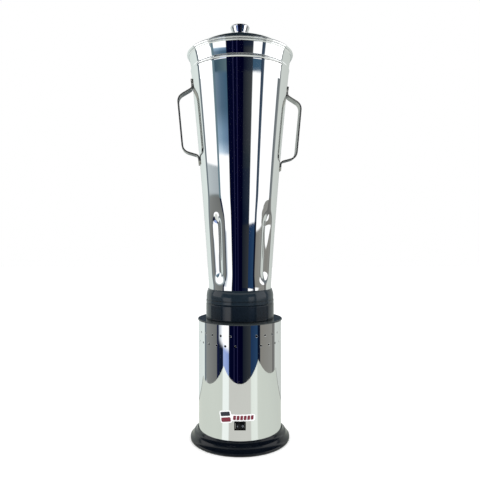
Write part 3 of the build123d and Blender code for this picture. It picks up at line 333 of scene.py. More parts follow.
# dark and light display colours, least and most roughness, metallic share, grain of the
# colour, grain of the roughness, strength of the relief and, where it isn't 0.5, the shine
LOOKS = {
    "mirror_steel": (
        (240, 242, 243), (250, 251, 252), (0.012, 0.04), 1.0, (25, 25, 5), (160, 160, 40), 0.012,
    ),
    "handle_steel": (
        (164, 164, 160), (190, 189, 184), (0.22, 0.34), 1.0, (40, 40, 40), (900, 900, 120), 0.05,
    ),
    "blade_steel": (
        (188, 190, 192), (222, 223, 225), (0.12, 0.26), 1.0, (90, 90, 90), (1400, 200, 200), 0.08,
    ),
    "shaft_steel": (
        (170, 171, 172), (200, 200, 200), (0.16, 0.3), 1.0, (60, 60, 60), STEEL_ROUND, 0.08,
    ),
    "bearing_steel": (
        (190, 190, 190), (214, 214, 214), (0.1, 0.2), 1.0, (60, 60, 60), STEEL_ROUND, 0.05,
    ),
    "plated_steel": (
        (168, 170, 172), (196, 196, 190), (0.28, 0.42), 1.0, (45, 45, 45), (260, 260, 260), 0.08,
    ),
    "zinc_screw": (
        (172, 172, 166), (204, 203, 194), (0.25, 0.4), 1.0, (180, 180, 180), CAST, 0.08,
    ),
    "knob_aluminium": (
        (214, 216, 220), (236, 237, 240), (0.04, 0.1), 1.0, (60, 60, 60), (60, 60, 2600), 0.03,
    ),
    "cast_aluminium": (
        (142, 143, 144), (176, 176, 174), (0.42, 0.62), 1.0, (70, 70, 70), CAST, 0.5,
    ),
    "lamination_steel": (
        (66, 66, 70), (96, 95, 94), (0.4, 0.55), 1.0, (40, 40, 40), (20, 20, 2000), 0.5,
    ),
    "copper_enamel": (
        (118, 52, 22), (170, 88, 40), (0.22, 0.36), 0.7, (90, 90, 90), (1100, 1100, 90), 0.5,
    ),
    "capacitor_case": (
        (176, 177, 178), (206, 206, 206), (0.24, 0.36), 1.0, (50, 50, 50), (40, 900, 900), 0.08,
    ),
    "bush_bronze": (
        (142, 104, 52), (182, 138, 76), (0.3, 0.45), 1.0, (120, 120, 120), CAST, 0.2,
    ),
    "dark_cover": (
        (40, 46, 48), (58, 64, 66), (0.14, 0.22), 0.3, (60, 60, 60), (700, 700, 700), 0.06,
    ),
    "foot_rubber": (
        (4, 8, 16), (9, 14, 23), (0.13, 0.2), 0.0, (60, 60, 60), (1300, 1300, 1300), 0.04, 0.42,
    ),
    "black_plastic": (
        (13, 21, 29), (21, 30, 39), (0.08, 0.15), 0.0, (50, 50, 50), (1000, 1000, 1000), 0.03,
    ),
    "jug_base_plastic": (
        (20, 30, 38), (30, 41, 50), (0.1, 0.18), 0.0, (50, 50, 50), (1000, 1000, 1000), 0.03,
    ),
    "switch_plastic": (
        (2, 2, 4), (6, 6, 8), (0.2, 0.3), 0.0, (200, 200, 200), (2400, 2400, 2400), 0.06, 0.15,
    ),
    "rocker_plastic": (
        (4, 5, 10), (10, 12, 17), (0.14, 0.22), 0.0, (200, 200, 200), (2400, 2400, 2400), 0.04, 0.22,
    ),
    "grommet_rubber": (
        (24, 24, 25), (38, 38, 38), (0.5, 0.65), 0.0, (100, 100, 100), (1300, 1300, 1300), 0.25,
    ),
    "seal_rubber": (
        (36, 36, 36), (52, 52, 51), (0.5, 0.65), 0.0, (100, 100, 100), (1300, 1300, 1300), 0.25,
    ),
    "terminal_plastic": (
        (206, 200, 180), (226, 221, 204), (0.4, 0.52), 0.0, (80, 80, 80), CAST, 0.1,
    ),
    "fan_plastic": (
        (54, 55, 58), (78, 78, 80), (0.42, 0.56), 0.0, (60, 60, 60), CAST, 0.15,
    ),
    "coupling_nylon": (
        (42, 42, 44), (62, 62, 63), (0.38, 0.5), 0.0, (80, 80, 80), CAST, 0.15,
    ),
    "badge_plastic": (
        (232, 233, 235), (248, 248, 249), (0.28, 0.36), 0.0, (90, 90, 90), CAST, 0.03,
    ),
}
INK_LOOKS = {
    "dark_ink": (
        (22, 22, 40), (34, 34, 54), (0.3, 0.4), 0.0, (200, 200, 200), CAST, 0.03,
    ),
    "red_ink": (
        (104, 14, 40), (128, 24, 52), (0.3, 0.4), 0.0, (200, 200, 200), CAST, 0.03,
    ),
    "pale_ink": (
        (150, 156, 168), (176, 182, 192), (0.4, 0.5), 0.0, (200, 200, 200), CAST, 0.03,
    ),
}
FINISHES = {name: finish(name, *look) for name, look in LOOKS.items()}
INKS = {name: finish(name, *look) for name, look in INK_LOOKS.items()}

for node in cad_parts.values():
    for slot in node.material_slots:
        slot.material = FINISHES[slot.material.name.split(".")[0]]


# ---------------------------------------------------------------- cup
def cup_radius(z):
    """Outside radius of the cup wall at a height."""
    rise = max(z - CUP_NECK_Z, 0.0)
    return CUP_NECK_R + CUP_FLARE * rise + CUP_CURVE * rise**2


def ramp(value, low, high):
    """0 below low, 1 above high and a smooth rise between."""
    t = min(max((value - low) / (high - low), 0.0), 1.0)
    return t * t * (3 - 2 * t)


def flute_dent(radius, angle, z):
    """How far the wall is pressed in: four upright flutes, each with a soft skirt."""
    depth = CORE_DEPTH + CORE_EXTRA * ramp(z, *CORE_DEEPENS)
    core = depth * ramp(z, *CORE_START) * (1 - ramp(z, *CORE_END))
    skirt = SKIRT_DEPTH * ramp(z, *SKIRT_START) * (1 - ramp(z, *SKIRT_END))
    offset = radius * radians((angle - CUP_TURN) % 90 - 45)
    press = SHALLOW_FLUTE if (angle - CUP_TURN) % 360 > 270 else 1.0
    core *= np.exp(-((offset / CORE_WIDTH) ** 2))
    skirt *= np.exp(-((offset / SKIRT_WIDTH) ** 2))
    return press * (core + skirt)


def cup_profile():
    """The cup's closed profile: up the outside, over the rolled rim and down the inside."""
    heights = [274, 282, 290] + list(range(293, 489, 3)) + list(range(496, 706, 10)) + [706]
    outer = [(cup_radius(z), z) for z in heights]
    bead_foot = (cup_radius(BEAD_LOW_Z), BEAD_LOW_Z)
    bead_top = (cup_radius(BEAD_Z) + BEAD_STAND, BEAD_Z)
    bead = arc_through(bead_foot, bead_top, (LIP_FOOT_R, LIP_FOOT_Z), 10)
    lip_middle = ((LIP_FOOT_R + RIM_R) / 2 - 0.5, (LIP_FOOT_Z + RIM_Z) / 2)
    lip = arc_through((LIP_FOOT_R, LIP_FOOT_Z), lip_middle, (RIM_R, RIM_Z), 12)[1:-1]
    roll = circle_part((RIM_R, RIM_Z), RIM_ROLL_R, -105, 195, 20)
    inner_lip = [(r - CUP_WALL, z) for r, z in reversed(lip)]
    inner = [(cup_radius(z) - CUP_WALL, z) for z in reversed(heights[1:])]
    floor = [(CUP_NECK_R - 3, CUP_FLOOR_Z + CUP_WALL), (CUP_HOLE_R, CUP_FLOOR_Z + CUP_WALL)]
    under = [(CUP_HOLE_R, CUP_FLOOR_Z), (CUP_NECK_R - 2, CUP_FLOOR_Z)]
    return outer + bead + lip + roll + inner_lip + inner + floor + under


CUP_STEPS = 480
cup_rows = []
for r, z in cup_profile():
    row = []
    for step in range(CUP_STEPS):
        angle = 360 * step / CUP_STEPS
        pressed = r - flute_dent(r, angle, z) if r > CUP_NECK_R - 2 else r
        row.append((pressed * cos(radians(angle)), pressed * sin(radians(angle)), z))
    cup_rows.append(row)
cup = new_piece("cup", *skin(cup_rows, closed=True), "jug", "mirror_steel")
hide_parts("cup_neck", "cup_wall", "cup_collar")


# ---------------------------------------------------------------- handles
def strip_handle(name, drop, angle, stands_for):
    """A flat strip with eased edges, bent out from the wall, down and back."""
    offset = STRIP_THICK / 2 - STRIP_SINK
    corners = []
    for z, stands_off, bend in HANDLE_BENDS:
        reach = HANDLE_REACH if stands_off else offset
        corners.append((cup_radius(z - drop) + reach, z - drop, bend))
    path = softened(corners, closed=False, steps=10)
    half_width = STRIP_WIDTH / 2
    half_thick = STRIP_THICK / 2
    section = softened(
        [
            (half_width, -half_thick, STRIP_EDGE_R),
            (half_width, half_thick, STRIP_EDGE_R),
            (-half_width, half_thick, STRIP_EDGE_R),
            (-half_width, -half_thick, STRIP_EDGE_R),
        ]
    )
    outward = np.array((cos(radians(angle)), sin(radians(angle)), 0.0))
    sideways = np.array((-sin(radians(angle)), cos(radians(angle)), 0.0))
    upward = np.array((0.0, 0.0, 1.0))
    rows = []
    for i, point in enumerate(path):
        tangent = path[min(i + 1, len(path) - 1)] - path[max(i - 1, 0)]
        tangent = tangent / np.linalg.norm(tangent)
        normal = outward * -tangent[1] + upward * tangent[0]
        middle = outward * point[0] + upward * point[1]
        rows.append([middle + sideways * across + normal * thick for across, thick in section])
    piece = new_piece(name, *skin(rows, capped=True), "jug", "handle_steel")
    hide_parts(stands_for)


strip_handle("left_handle", 0, 180 + CUP_TURN, "handle_left")
strip_handle("right_handle", RIGHT_HANDLE_DROP, CUP_TURN, "handle_right")

# ---------------------------------------------------------------- lid
roll_r, roll_z = LID_ROLL_CENTRE
dome = arc_through((roll_r, roll_z + LID_ROLL_R), (68.5, 762.5), (12.5, LID_TOP_Z), 36)
dome_under = [(r, z - LID_SHEET) for r, z in reversed(dome[1:])]
roll = circle_part(LID_ROLL_CENTRE, LID_ROLL_R, -200, 80, 20)
lid_under = [(LID_HOLE_R, LID_TOP_Z - LID_SHEET)] + dome_under
lid_profile = lid_under + roll + dome[1:] + [(LID_HOLE_R, LID_TOP_Z)]
lid = new_piece("lid", *skin(turned_rows(lid_profile), closed=True), "lid", "mirror_steel")
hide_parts("lid_shell")

turned(
    "lid_plug",
    [(92.5, 747.5, 0), (92.5, 724, 0.3), (93.3, 724, 0.3), (93.3, 747.5, 0)],
    "lid",
    "mirror_steel",
)

knob = turned(
    "knob",
    [
        (0, LID_TOP_Z, 0),
        (11.2, LID_TOP_Z, 0.5),
        (12.2, 779, 1.0),
        (14.3, 787, 6.0),
        (18.2, 797.2, 1.0),
        (18.6, 798.6, 0.6),
        (17.9, KNOB_TOP_Z, 0.6),
        (13.2, KNOB_TOP_Z, 0.4),
        (12.6, 799.2, 0.4),
        (0, 799.2, 0),
    ],
    "lid",
    "knob_aluminium",
    closed=False,
)
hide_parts("lid_knob")

# ---------------------------------------------------------------- black rings and foot
collar = turned(
    "collar",
    [
        (26, COVER_TOP_Z, 0),
        (65.2, COVER_TOP_Z, 0.4),
        (66.0, 234.2, 0.8),
        (66.0, 261.2, 1.4),
        (64.8, 262.8, 0.8),
        (56.4, 262.8, 1.0),
        (55, 261.4, 1.0),
        (55, 238, 1.2),
        (26, 238, 0.6),
    ],
    "cabinet",
    "black_plastic",
)
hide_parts("seat_collar")

shoulder = arc_through((65.3, 277), (64.3, 283.5), (61.9, 290), 12)
jug_ring = turned(
    "jug_ring",
    [
        (60.7, 290, 0.3),
        (60.7, CUP_FLOOR_Z, 0.2),
        (CUP_HOLE_R, CUP_FLOOR_Z, 0.2),
        (CUP_HOLE_R, JUG_SEAT_Z, 0.2),
        (46, JUG_SEAT_Z, 0.2),
        (46, 251, 0.6),
        (54.6, 251, 0.8),
        (54.6, JUG_SEAT_Z, 0.2),
        (64.8, JUG_SEAT_Z, 0.6),
        (65.8, 264.2, 0.8),
        (65.8, 269.0, 0.4),
        (64.1, 269.2, 0.1),
        (64.1, 270.6, 0.1),
        (65.3, 270.8, 0.3),
    ]
    + [(r, z, 0) for r, z in shoulder],
    "jug",
    "jug_base_plastic",
)
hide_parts("jug_base")

lower_wave = arc_through((96, 5.4), (92.3, 8.4), (89.4, 12.8), 8)
upper_wave = arc_through((88.7, 14.8), (84.1, 17.8), (82.1, 21.4), 10)
foot = turned(
    "foot",
    [(68, SHELL_LOW_Z, 0.3), (68, 0, 0.4), (94.6, 0, 0.8), (96, 1.6, 1.0)]
    + [(r, z, 0) for r, z in lower_wave]
    + [(88.9, 13.7, 0)]
    + [(r, z, 0) for r, z in upper_wave]
    + [(81.4, FOOT_TOP_Z, 0.3), (80.15, FOOT_TOP_Z, 0.2), (80.15, SHELL_LOW_Z, 0.3)],
    "cabinet",
    "foot_rubber",
)
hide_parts("foot_ring")

cover = turned(
    "cover",
    [
        (20, SHELL_TOP_Z, 0.3),
        (77.1, SHELL_TOP_Z, 0.3),
        (77.1, 222, 0.3),
        (79.1, 222, 0.3),
        (79.1, SHELL_TOP_Z, 0.2),
        (81.9, SHELL_TOP_Z, 0.5),
        (82.2, 231.2, 0.8),
        (81.4, COVER_TOP_Z, 1.2),
        (20, COVER_TOP_Z, 0.3),
    ],
    "cabinet",
    "dark_cover",
)
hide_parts("top_cover")

# ---------------------------------------------------------------- cabinet with its vents
CELL_STEPS = 8
CELL_STEP = VENT_PITCH / CELL_STEPS
FIRST_EDGE = VENT_FIRST - VENT_PITCH / 2
VENT_ANGLES = [FIRST_EDGE + CELL_STEP * i for i in range(VENTS_PER_ROW * CELL_STEPS)]
GAP_START = VENT_ANGLES[-1] + CELL_STEP
GAP = 180 - VENT_PITCH * VENTS_PER_ROW
GAP_STEPS = 12
DISH_STEPS = 5
DISH_BORDER = 1.35  # share of a dish's radius where the sheet around it starts
HALF_TURN = VENT_ANGLES + [GAP_START + GAP * i / GAP_STEPS for i in range(GAP_STEPS)]
COLUMNS = HALF_TURN + [angle + 180 for angle in HALF_TURN]
LEVELS = (
    [SHELL_LOW_Z, FOOT_TOP_Z]
    + [GROMMET_Z + GROMMET_CELL_HALF * (2 * i / CELL_STEPS - 1) for i in range(CELL_STEPS + 1)]
    + [VENT_LOWER_Z + VENT_CELL_HALF * (2 * i / CELL_STEPS - 1) for i in range(2 * CELL_STEPS + 1)]
    + [SHELL_TOP_Z]
)


def shell_point(angle, z, dent=0.0, radius=SHELL_R):
    """A point on the shell."""
    return (
        (radius - dent) * cos(radians(angle)),
        (radius - dent) * sin(radians(angle)),
        z,
    )


def cells():
    """Every hole: its first column, first level, centre angle, height and radii."""
    lower = LEVELS.index(VENT_LOWER_Z - VENT_CELL_HALF)
    for side in (0, len(HALF_TURN)):
        for vent in range(VENTS_PER_ROW):
            angle = VENT_FIRST + vent * VENT_PITCH + (180 if side else 0)
            column = side + vent * CELL_STEPS
            yield column, lower + CELL_STEPS, angle, VENT_UPPER_Z, VENT_R, VENT_DISH_R
            column += CELL_STEPS // 2
            yield column, lower, angle + VENT_PITCH / 2, VENT_LOWER_Z, VENT_R, VENT_DISH_R
    middle = min(range(len(COLUMNS)), key=lambda i: abs(COLUMNS[i] - 90))
    level = LEVELS.index(GROMMET_Z - GROMMET_CELL_HALF)
    yield middle - CELL_STEPS // 2, level, 90.0, GROMMET_Z, GROMMET_HOLE_R, GROMMET_DISH_R


def cabinet_skin():
    """The shell with its dished round holes: an outer skin, hole walls and an inner skin."""
    width = len(COLUMNS)
    taken = set()
    holes = list(cells())
    for column, level, *_ in holes:
        for i in range(CELL_STEPS):
            for j in range(CELL_STEPS):
                taken.add(((column + i) % width, level + j))
    points = []
    normals = []
    faces = []

    def put(angle, z, dent, slope, radius, facing, toward):
        """Adds a point whose normal leans by a slope toward a direction on the sheet."""
        outward = np.array((cos(radians(angle)), sin(radians(angle)), 0.0))
        sideways = np.array((-outward[1], outward[0], 0.0))
        lean = sideways * toward[0] + np.array((0, 0, 1.0)) * toward[1]
        normal = (outward + slope * lean) * facing
        points.append(shell_point(angle, z, dent, radius))
        normals.append(normal / np.linalg.norm(normal))
        return len(points) - 1

    def ring(angle, z, size, dent, slope, radius, facing):
        """Adds a circle of points round a hole, whose normals lean to its middle."""
        made = []
        for i in range(4 * CELL_STEPS):
            turn = 2 * pi * i / (4 * CELL_STEPS)
            side_angle = angle + size * cos(turn) / radians(radius)
            toward = (-cos(turn), -sin(turn))
            height = z + size * sin(turn)
            made.append(put(side_angle, height, dent, slope, radius, facing, toward))
        return made

    for radius, facing in ((SHELL_R, 1), (SHELL_R - SHELL_WALL, -1)):
        net = {}
        for row, z in enumerate(LEVELS):
            for column, angle in enumerate(COLUMNS):
                net[column, row] = put(angle, z, 0, 0, radius, facing, (0, 0))
        for row in range(len(LEVELS) - 1):
            for column in range(width):
                if (column, row) in taken:
                    continue
                after = (column + 1) % width
                face = [net[column, row], net[after, row], net[after, row + 1], net[column, row + 1]]
                faces.append(face[::facing])
        for column, level, angle, z, hole_r, dish_r in holes:
            # the cell's outline, anticlockwise from the middle of its right side
            n = CELL_STEPS
            edge = [(n, n // 2 + i) for i in range(n // 2)] + [(n - i, n) for i in range(n)]
            edge += [(0, n - i) for i in range(n)] + [(i, 0) for i in range(n)]
            edge += [(n, i) for i in range(n // 2)]
            rings = [[net[(column + i) % width, level + j] for i, j in edge]]
            sizes = [DISH_BORDER * dish_r, dish_r]
            for step in range(1, DISH_STEPS + 1):
                sizes.append(dish_r + (hole_r - dish_r) * step / DISH_STEPS)
            for size in sizes:
                depth = max((dish_r - size) / (dish_r - hole_r), 0.0)
                dent = VENT_DISH_DEPTH * depth**2
                slope = 2 * VENT_DISH_DEPTH * depth / (dish_r - hole_r)
                rings.append(ring(angle, z, size, dent, slope, radius, facing))
            if facing > 0:
                through = VENT_DISH_DEPTH + SHELL_WALL
                rings.append(ring(angle, z, hole_r, through, HOLE_EDGE_SLOPE, radius, facing))
            for first, second in zip(rings, rings[1:]):
                for i in range(len(edge)):
                    j = (i + 1) % len(edge)
                    face = [first[i], first[j], second[j], second[i]]
                    faces.append(face[::facing])
    return points, faces, normals


shell_points, shell_faces, shell_normals = cabinet_skin()
cabinet = new_piece("cabinet", shell_points, shell_faces, "cabinet", "mirror_steel", shell_normals)
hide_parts("cabinet_shell")

# ---------------------------------------------------------------- switch
def outline(half_x, half_z, radius):
    """A rectangle's corners, clockwise seen from the front."""
    return [
        (-half_x, -half_z, radius),
        (-half_x, half_z, radius),
        (half_x, half_z, radius),
        (half_x, -half_z, radius),
    ]


BEZEL_HALF = (10.5, 7.5)
WELL_HALF = (8.9, 5.5)
front = -SHELL_R - BEZEL_THICK
bezel_rows = []
# the outline that a row follows, its depth behind the front, its growth and corner radius
for (half_x, half_z), behind, growth, radius in (
    (BEZEL_HALF, 3.2, 0.0, 1.0),
    (BEZEL_HALF, 0.9, 0.0, 1.0),
    (BEZEL_HALF, 0.5, -0.08, 1.0),
    (BEZEL_HALF, 0.2, -0.3, 0.9),
    (BEZEL_HALF, 0.0, -0.7, 0.8),
    (WELL_HALF, 0.0, 0.4, 0.6),
    (WELL_HALF, 0.15, 0.15, 0.5),
    (WELL_HALF, 0.6, 0.0, 0.4),
    (WELL_HALF, 9.0, 0.0, 0.4),
):
    shape = softened(outline(half_x + growth, half_z + growth, radius))
    bezel_rows.append([(x, front + behind, SWITCH_Z + z) for x, z in shape])
bezel = new_piece("switch_bezel", *skin(bezel_rows), "cabinet", "switch_plastic")
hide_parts("switch_housing")

tilt = radians(ROCKER_TILT)


def tilted(x, y, height):
    """A point of the level rocker where the tilt takes it."""
    return (
        x * cos(tilt) - y * sin(tilt),
        ROCKER_PIVOT_Y + x * sin(tilt) + y * cos(tilt),
        SWITCH_Z + height,
    )


rocker_profile = softened(
    [
        (-ROCKER_HALF, 2.0, 0.4),
        (-ROCKER_HALF, -ROCKER_END, 0.7),
        (0, -ROCKER_MIDDLE, 3.0),
        (ROCKER_HALF, -ROCKER_END, 0.7),
        (ROCKER_HALF, 2.0, 0.4),
        (0, 3.2, 0.5),
    ]
)
rocker_rows = []
for height, inset in ((-5.3, 0.35), (-5.15, 0.12), (-4.9, 0.0), (4.9, 0.0), (5.15, 0.12), (5.3, 0.35)):
    row = []
    for x, y in rocker_profile:
        row.append(tilted(x - inset * np.sign(x), y + inset if y < 0 else y, height))
    rocker_rows.append(row)
rocker = new_piece("rocker", *skin(rocker_rows, capped=True), "rocker", "rocker_plastic")
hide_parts("switch_rocker")


def rocker_place(x, z, lift):
    """A point on the rocker's dished front, at x along it and z above its middle."""
    slope = (ROCKER_END - ROCKER_MIDDLE) / ROCKER_HALF
    return tilted(x, -ROCKER_MIDDLE - slope * abs(x) - lift, z)


def rocker_mark(name, inner, outer):
    """A plain mark on the rocker between two closed outlines of (x, z)."""
    rows = []
    for marks, lift in ((inner, 0), (inner, MARK_LIFT), (outer, MARK_LIFT), (outer, 0)):
        rows.append([rocker_place(x, z, lift) for x, z in marks])
    piece = new_piece(name, *skin(rows), "rocker", "rocker_plastic")
    piece.data.materials[0] = INKS["pale_ink"]


off_centre = (MARK_X, 0.0)
rocker_mark(
    "off_mark",
    circle_part(off_centre, 1.15, 0, 337.5, 15),
    circle_part(off_centre, 1.6, 0, 337.5, 15),
)
bar_left = -MARK_X - 0.25
bar_right = -MARK_X + 0.25
BAR_HALF = 1.7
on_bar = softened(
    [
        (bar_left, -BAR_HALF, 0.2),
        (bar_right, -BAR_HALF, 0.2),
        (bar_right, BAR_HALF, 0.2),
        (bar_left, BAR_HALF, 0.2),
    ]
)
on_line = [(-MARK_X, z * 0.2) for _, z in on_bar]
rocker_mark("on_mark", on_line, on_bar)


# ---------------------------------------------------------------- badge
def dense(shape, step=1.2):
    """A closed outline with extra points, so that it follows the round shell closely."""
    points = []
    for first, second in zip(shape, shape[1:] + shape[:1]):
        first = np.array(first)
        span = np.array(second) - first
        pieces = max(int(np.ceil(np.linalg.norm(span) / step)), 1)
        points += [tuple(first + span * piece / pieces) for piece in range(pieces)]
    return points


def badge_sheet(name, shape, lift, finish_used):
    """A thin flat shape bent round the shell; the shape is (distance along the shell, height)."""
    shape = dense(shape)
    centre = np.mean(np.array(shape), axis=0)
    rows = []
    levels = [(1.0, 0.0), (1.0, lift * 0.7)] + [(share, lift) for share in (0.985, 0.7, 0.4, 0.2)]
    for share, depth in levels:
        row = []
        for along, z in shape:
            s = centre[0] + (along - centre[0]) * share
            h = centre[1] + (z - centre[1]) * share
            row.append(shell_point(-90 + s / radians(SHELL_R), h, -depth))
        rows.append(row)
    rows.append([shell_point(-90 + centre[0] / radians(SHELL_R), centre[1], -lift)])
    piece = new_piece(name, *skin(rows), "cabinet", "badge_plastic")
    piece.data.materials[0] = finish_used
    return piece


def turned_square(centre, half, radius, angle, top=1.0, bottom=-1.0):
    """A rounded square turned on its centre, or a slice of it from bottom to top."""
    c, s = cos(radians(angle)), sin(radians(angle))
    corners = [(-half, half * bottom), (half, half * bottom), (half, half * top), (-half, half * top)]
    return [
        (centre[0] + x * c - z * s, centre[1] + x * s + z * c)
        for x, z in softened([(x, z, radius) for x, z in corners])
    ]


EMBLEM = (-26.5, 65.0)
EMBLEM_TURN = 9.0
INK_LIFT = 0.42
BLOCKS = 6
BLOCK_FIRST = -12.6
BLOCK_PITCH = 6.4
BLOCK_WIDTH = 4.9
BLOCK_LEAN = 0.7
BLOCK_LOW_Z = 60.6
BLOCK_HIGH_Z = 68.2
BLOCK_R = 0.8
plain_white = FINISHES["badge_plastic"]
band = softened([(-22, 58.2, 2), (28, 58.2, 4), (28, 70.4, 4), (-22, 70.4, 2)])
label = badge_sheet("label_band", [tuple(point) for point in band], 0.2, plain_white)
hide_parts("name_badge")
badge_sheet("label_square", turned_square(EMBLEM, 11.2, 4.0, EMBLEM_TURN), 0.24, plain_white)
top_bar = turned_square(EMBLEM, 9.0, 2.0, EMBLEM_TURN, 1.0, 0.16)
badge_sheet("label_top", top_bar, INK_LIFT, INKS["dark_ink"])
bottom_bar = turned_square(EMBLEM, 9.0, 2.0, EMBLEM_TURN, -0.12, -1.0)
badge_sheet("label_bottom", bottom_bar, INK_LIFT, INKS["red_ink"])
for block in range(BLOCKS):
    left = BLOCK_FIRST + BLOCK_PITCH * block
    corners = softened(
        [
            (left, BLOCK_LOW_Z, BLOCK_R),
            (left + BLOCK_WIDTH, BLOCK_LOW_Z, BLOCK_R),
            (left + BLOCK_WIDTH + BLOCK_LEAN, BLOCK_HIGH_Z, BLOCK_R),
            (left + BLOCK_LEAN, BLOCK_HIGH_Z, BLOCK_R),
        ]
    )
    shape = [tuple(point) for point in corners]
    badge_sheet(f"label_block_{block}", shape, INK_LIFT, INKS["red_ink"])

# ---------------------------------------------------------------- cable entry
grommet_profile = softened(
    [
        (4.0, -3.0, 0.6),
        (4.0, 11.0, 0.4),
        (6.5, 11.0, 0.4),
        (6.5, 0.0, 0.2),
        (9.0, 0.0, 0.2),
        (9.0, -2.2, 1.2),
        (7.6, -3.0, 0.8),
    ]
)
grommet_rows = [
    [(x, SHELL_R - height, GROMMET_Z + y) for x, y, height in row]
    for row in turned_rows(grommet_profile, 64)
]
grommet = new_piece("grommet", *skin(grommet_rows, closed=True), "cabinet", "grommet_rubber")
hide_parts("cable_grommet")

# ---------------------------------------------------------------- studio, in metres and degrees
def sheet(name, corners, material):
    """A flat staged rectangle."""
    mesh = bpy.data.meshes.new(name)
    mesh.from_pydata(corners, [], [list(range(len(corners)))])
    mesh.materials.append(material)
    made = bpy.data.objects.new(name, mesh)
    bpy.context.scene.collection.objects.link(made)
    return made


def maths(tree, operation, first, second=None):
    """A maths node; each input is a socket or a number."""
    node = add_node(tree, "ShaderNodeMath", operation=operation)
    for index, value in enumerate((first, second)):
        if value is None:
            continue
        if isinstance(value, (int, float)):
            node.inputs[index].default_value = value
        else:
            tree.links.new(value, node.inputs[index])
    return node.outputs["Value"]


def azimuth(tree, vector):
    """A direction's share of a full turn, and its rise.

    A share of 0.5 is straight in front of the object, and more is to its right.
    """
    axes = add_node(tree, "ShaderNodeSeparateXYZ")
    tree.links.new(vector, axes.inputs["Vector"])
    back = maths(tree, "MULTIPLY", axes.outputs["Y"], -1.0)
    turn = maths(tree, "ARCTAN2", axes.outputs["X"], back)
    share = maths(tree, "ADD", maths(tree, "DIVIDE", turn, 2 * pi), 0.5)
    return share, axes.outputs["Z"]


def blended(tree, factor, low, high):
    """One colour giving way to another by a factor."""
    mix = add_node(tree, "ShaderNodeMix", data_type="RGBA")
    tree.links.new(factor, mix.inputs["Factor"])
    for value, socket in ((low, mix.inputs["A"]), (high, mix.inputs["B"])):
        if isinstance(value, tuple):
            socket.default_value = value
        else:
            tree.links.new(value, socket)
    return mix.outputs["Result"]


NAVY = (3, 8, 34)
WHITE = (255, 255, 255)
# upright strips of the studio: azimuth in degrees and display colour of their two edges
STRIPS = {
    "behind_left": (-180, -169, (48, 60, 74), (70, 84, 98)),
    "far_left": (-167, -115, (204, 212, 208), (212, 220, 216)),
    "left_edge": (-113.5, -107, (92, 102, 108), (110, 120, 126)),
    "left_panel": (-106.5, -66.5, WHITE, WHITE),
    "left_post": (-65.8, -60.5, (104, 126, 134), (92, 114, 124)),
    "left_wall": (-60, -47.2, (56, 78, 92), (66, 88, 98)),
    "left_window": (-46.8, -31, (68, 90, 100), (84, 104, 112)),
    "dark_left": (-30, -17.5, NAVY, (2, 4, 32)),
    "streak_one": (-16.5, -15.5, (34, 35, 66), (34, 35, 66)),
    "dark_middle": (-14.5, -8, (1, 3, 30), (1, 3, 30)),
    "streak_two": (-7.4, -6.4, (36, 36, 70), (36, 36, 70)),
    "dark_right": (-5.6, 7, (2, 2, 28), (1, 2, 26)),
    "grey_wall": (8, 28.5, (8, 12, 32), (40, 48, 58)),
    "right_window": (30, 48.6, WHITE, WHITE),
    "right_post": (49.4, 56.5, (36, 52, 72), (66, 80, 94)),
    "right_panel": (57.2, 99.5, WHITE, WHITE),
    "right_edge": (100.5, 110, (96, 104, 108), (116, 120, 122)),
    "far_right": (113, 166, (194, 199, 194), (186, 191, 186)),
    "behind_right": (168, 180, (70, 84, 98), (48, 60, 74)),
}


def ramp_node(tree, factor, stops):
    """A colour ramp from (place, display colour) stops."""
    node = add_node(tree, "ShaderNodeValToRGB")
    elements = node.color_ramp.elements
    for index, (place, colour) in enumerate(stops):
        stop = elements[index] if index < 2 else elements.new(0.999)
        stop.position = place
        stop.color = linear(*colour)
    tree.links.new(factor, node.inputs["Fac"])
    return node.outputs["Color"]


def studio_level(tree, share, changes):
    """The studio's colours by azimuth at one elevation: a ramp for each side."""
    left = []
    right = []
    for name, (start, end, first, last) in STRIPS.items():
        first, last = changes.get(name, (first, last))
        for angle, colour in ((start, first), (end, last)):
            if angle <= 0:
                left.append((angle / 180 + 1, colour))
            else:
                right.append((angle / 180, colour))
    doubled = maths(tree, "MULTIPLY", share, 2.0)
    left_colour = ramp_node(tree, doubled, left)
    right_colour = ramp_node(tree, maths(tree, "SUBTRACT", doubled, 1.0), right)
    side = maths(tree, "GREATER_THAN", share, 0.5)
    return blended(tree, side, left_colour, right_colour)


LOW_GREY = {
    "left_panel": ((126, 128, 126), (104, 106, 104)),
    "left_wall": ((18, 27, 46), (10, 19, 42)),
    "left_window": ((150, 168, 212), (130, 150, 200)),
    "left_post": ((30, 38, 60), (10, 16, 50)),
    "grey_wall": ((22, 28, 38), (46, 50, 54)),
    "right_window": ((26, 48, 80), (36, 62, 92)),
    "right_post": ((6, 14, 34), (10, 20, 40)),
    "right_panel": ((124, 122, 116), (134, 134, 130)),
    "right_edge": ((96, 96, 94), (120, 120, 118)),
}
WINDOWS = {"left_wall": (WHITE, WHITE), "left_window": (WHITE, WHITE)}
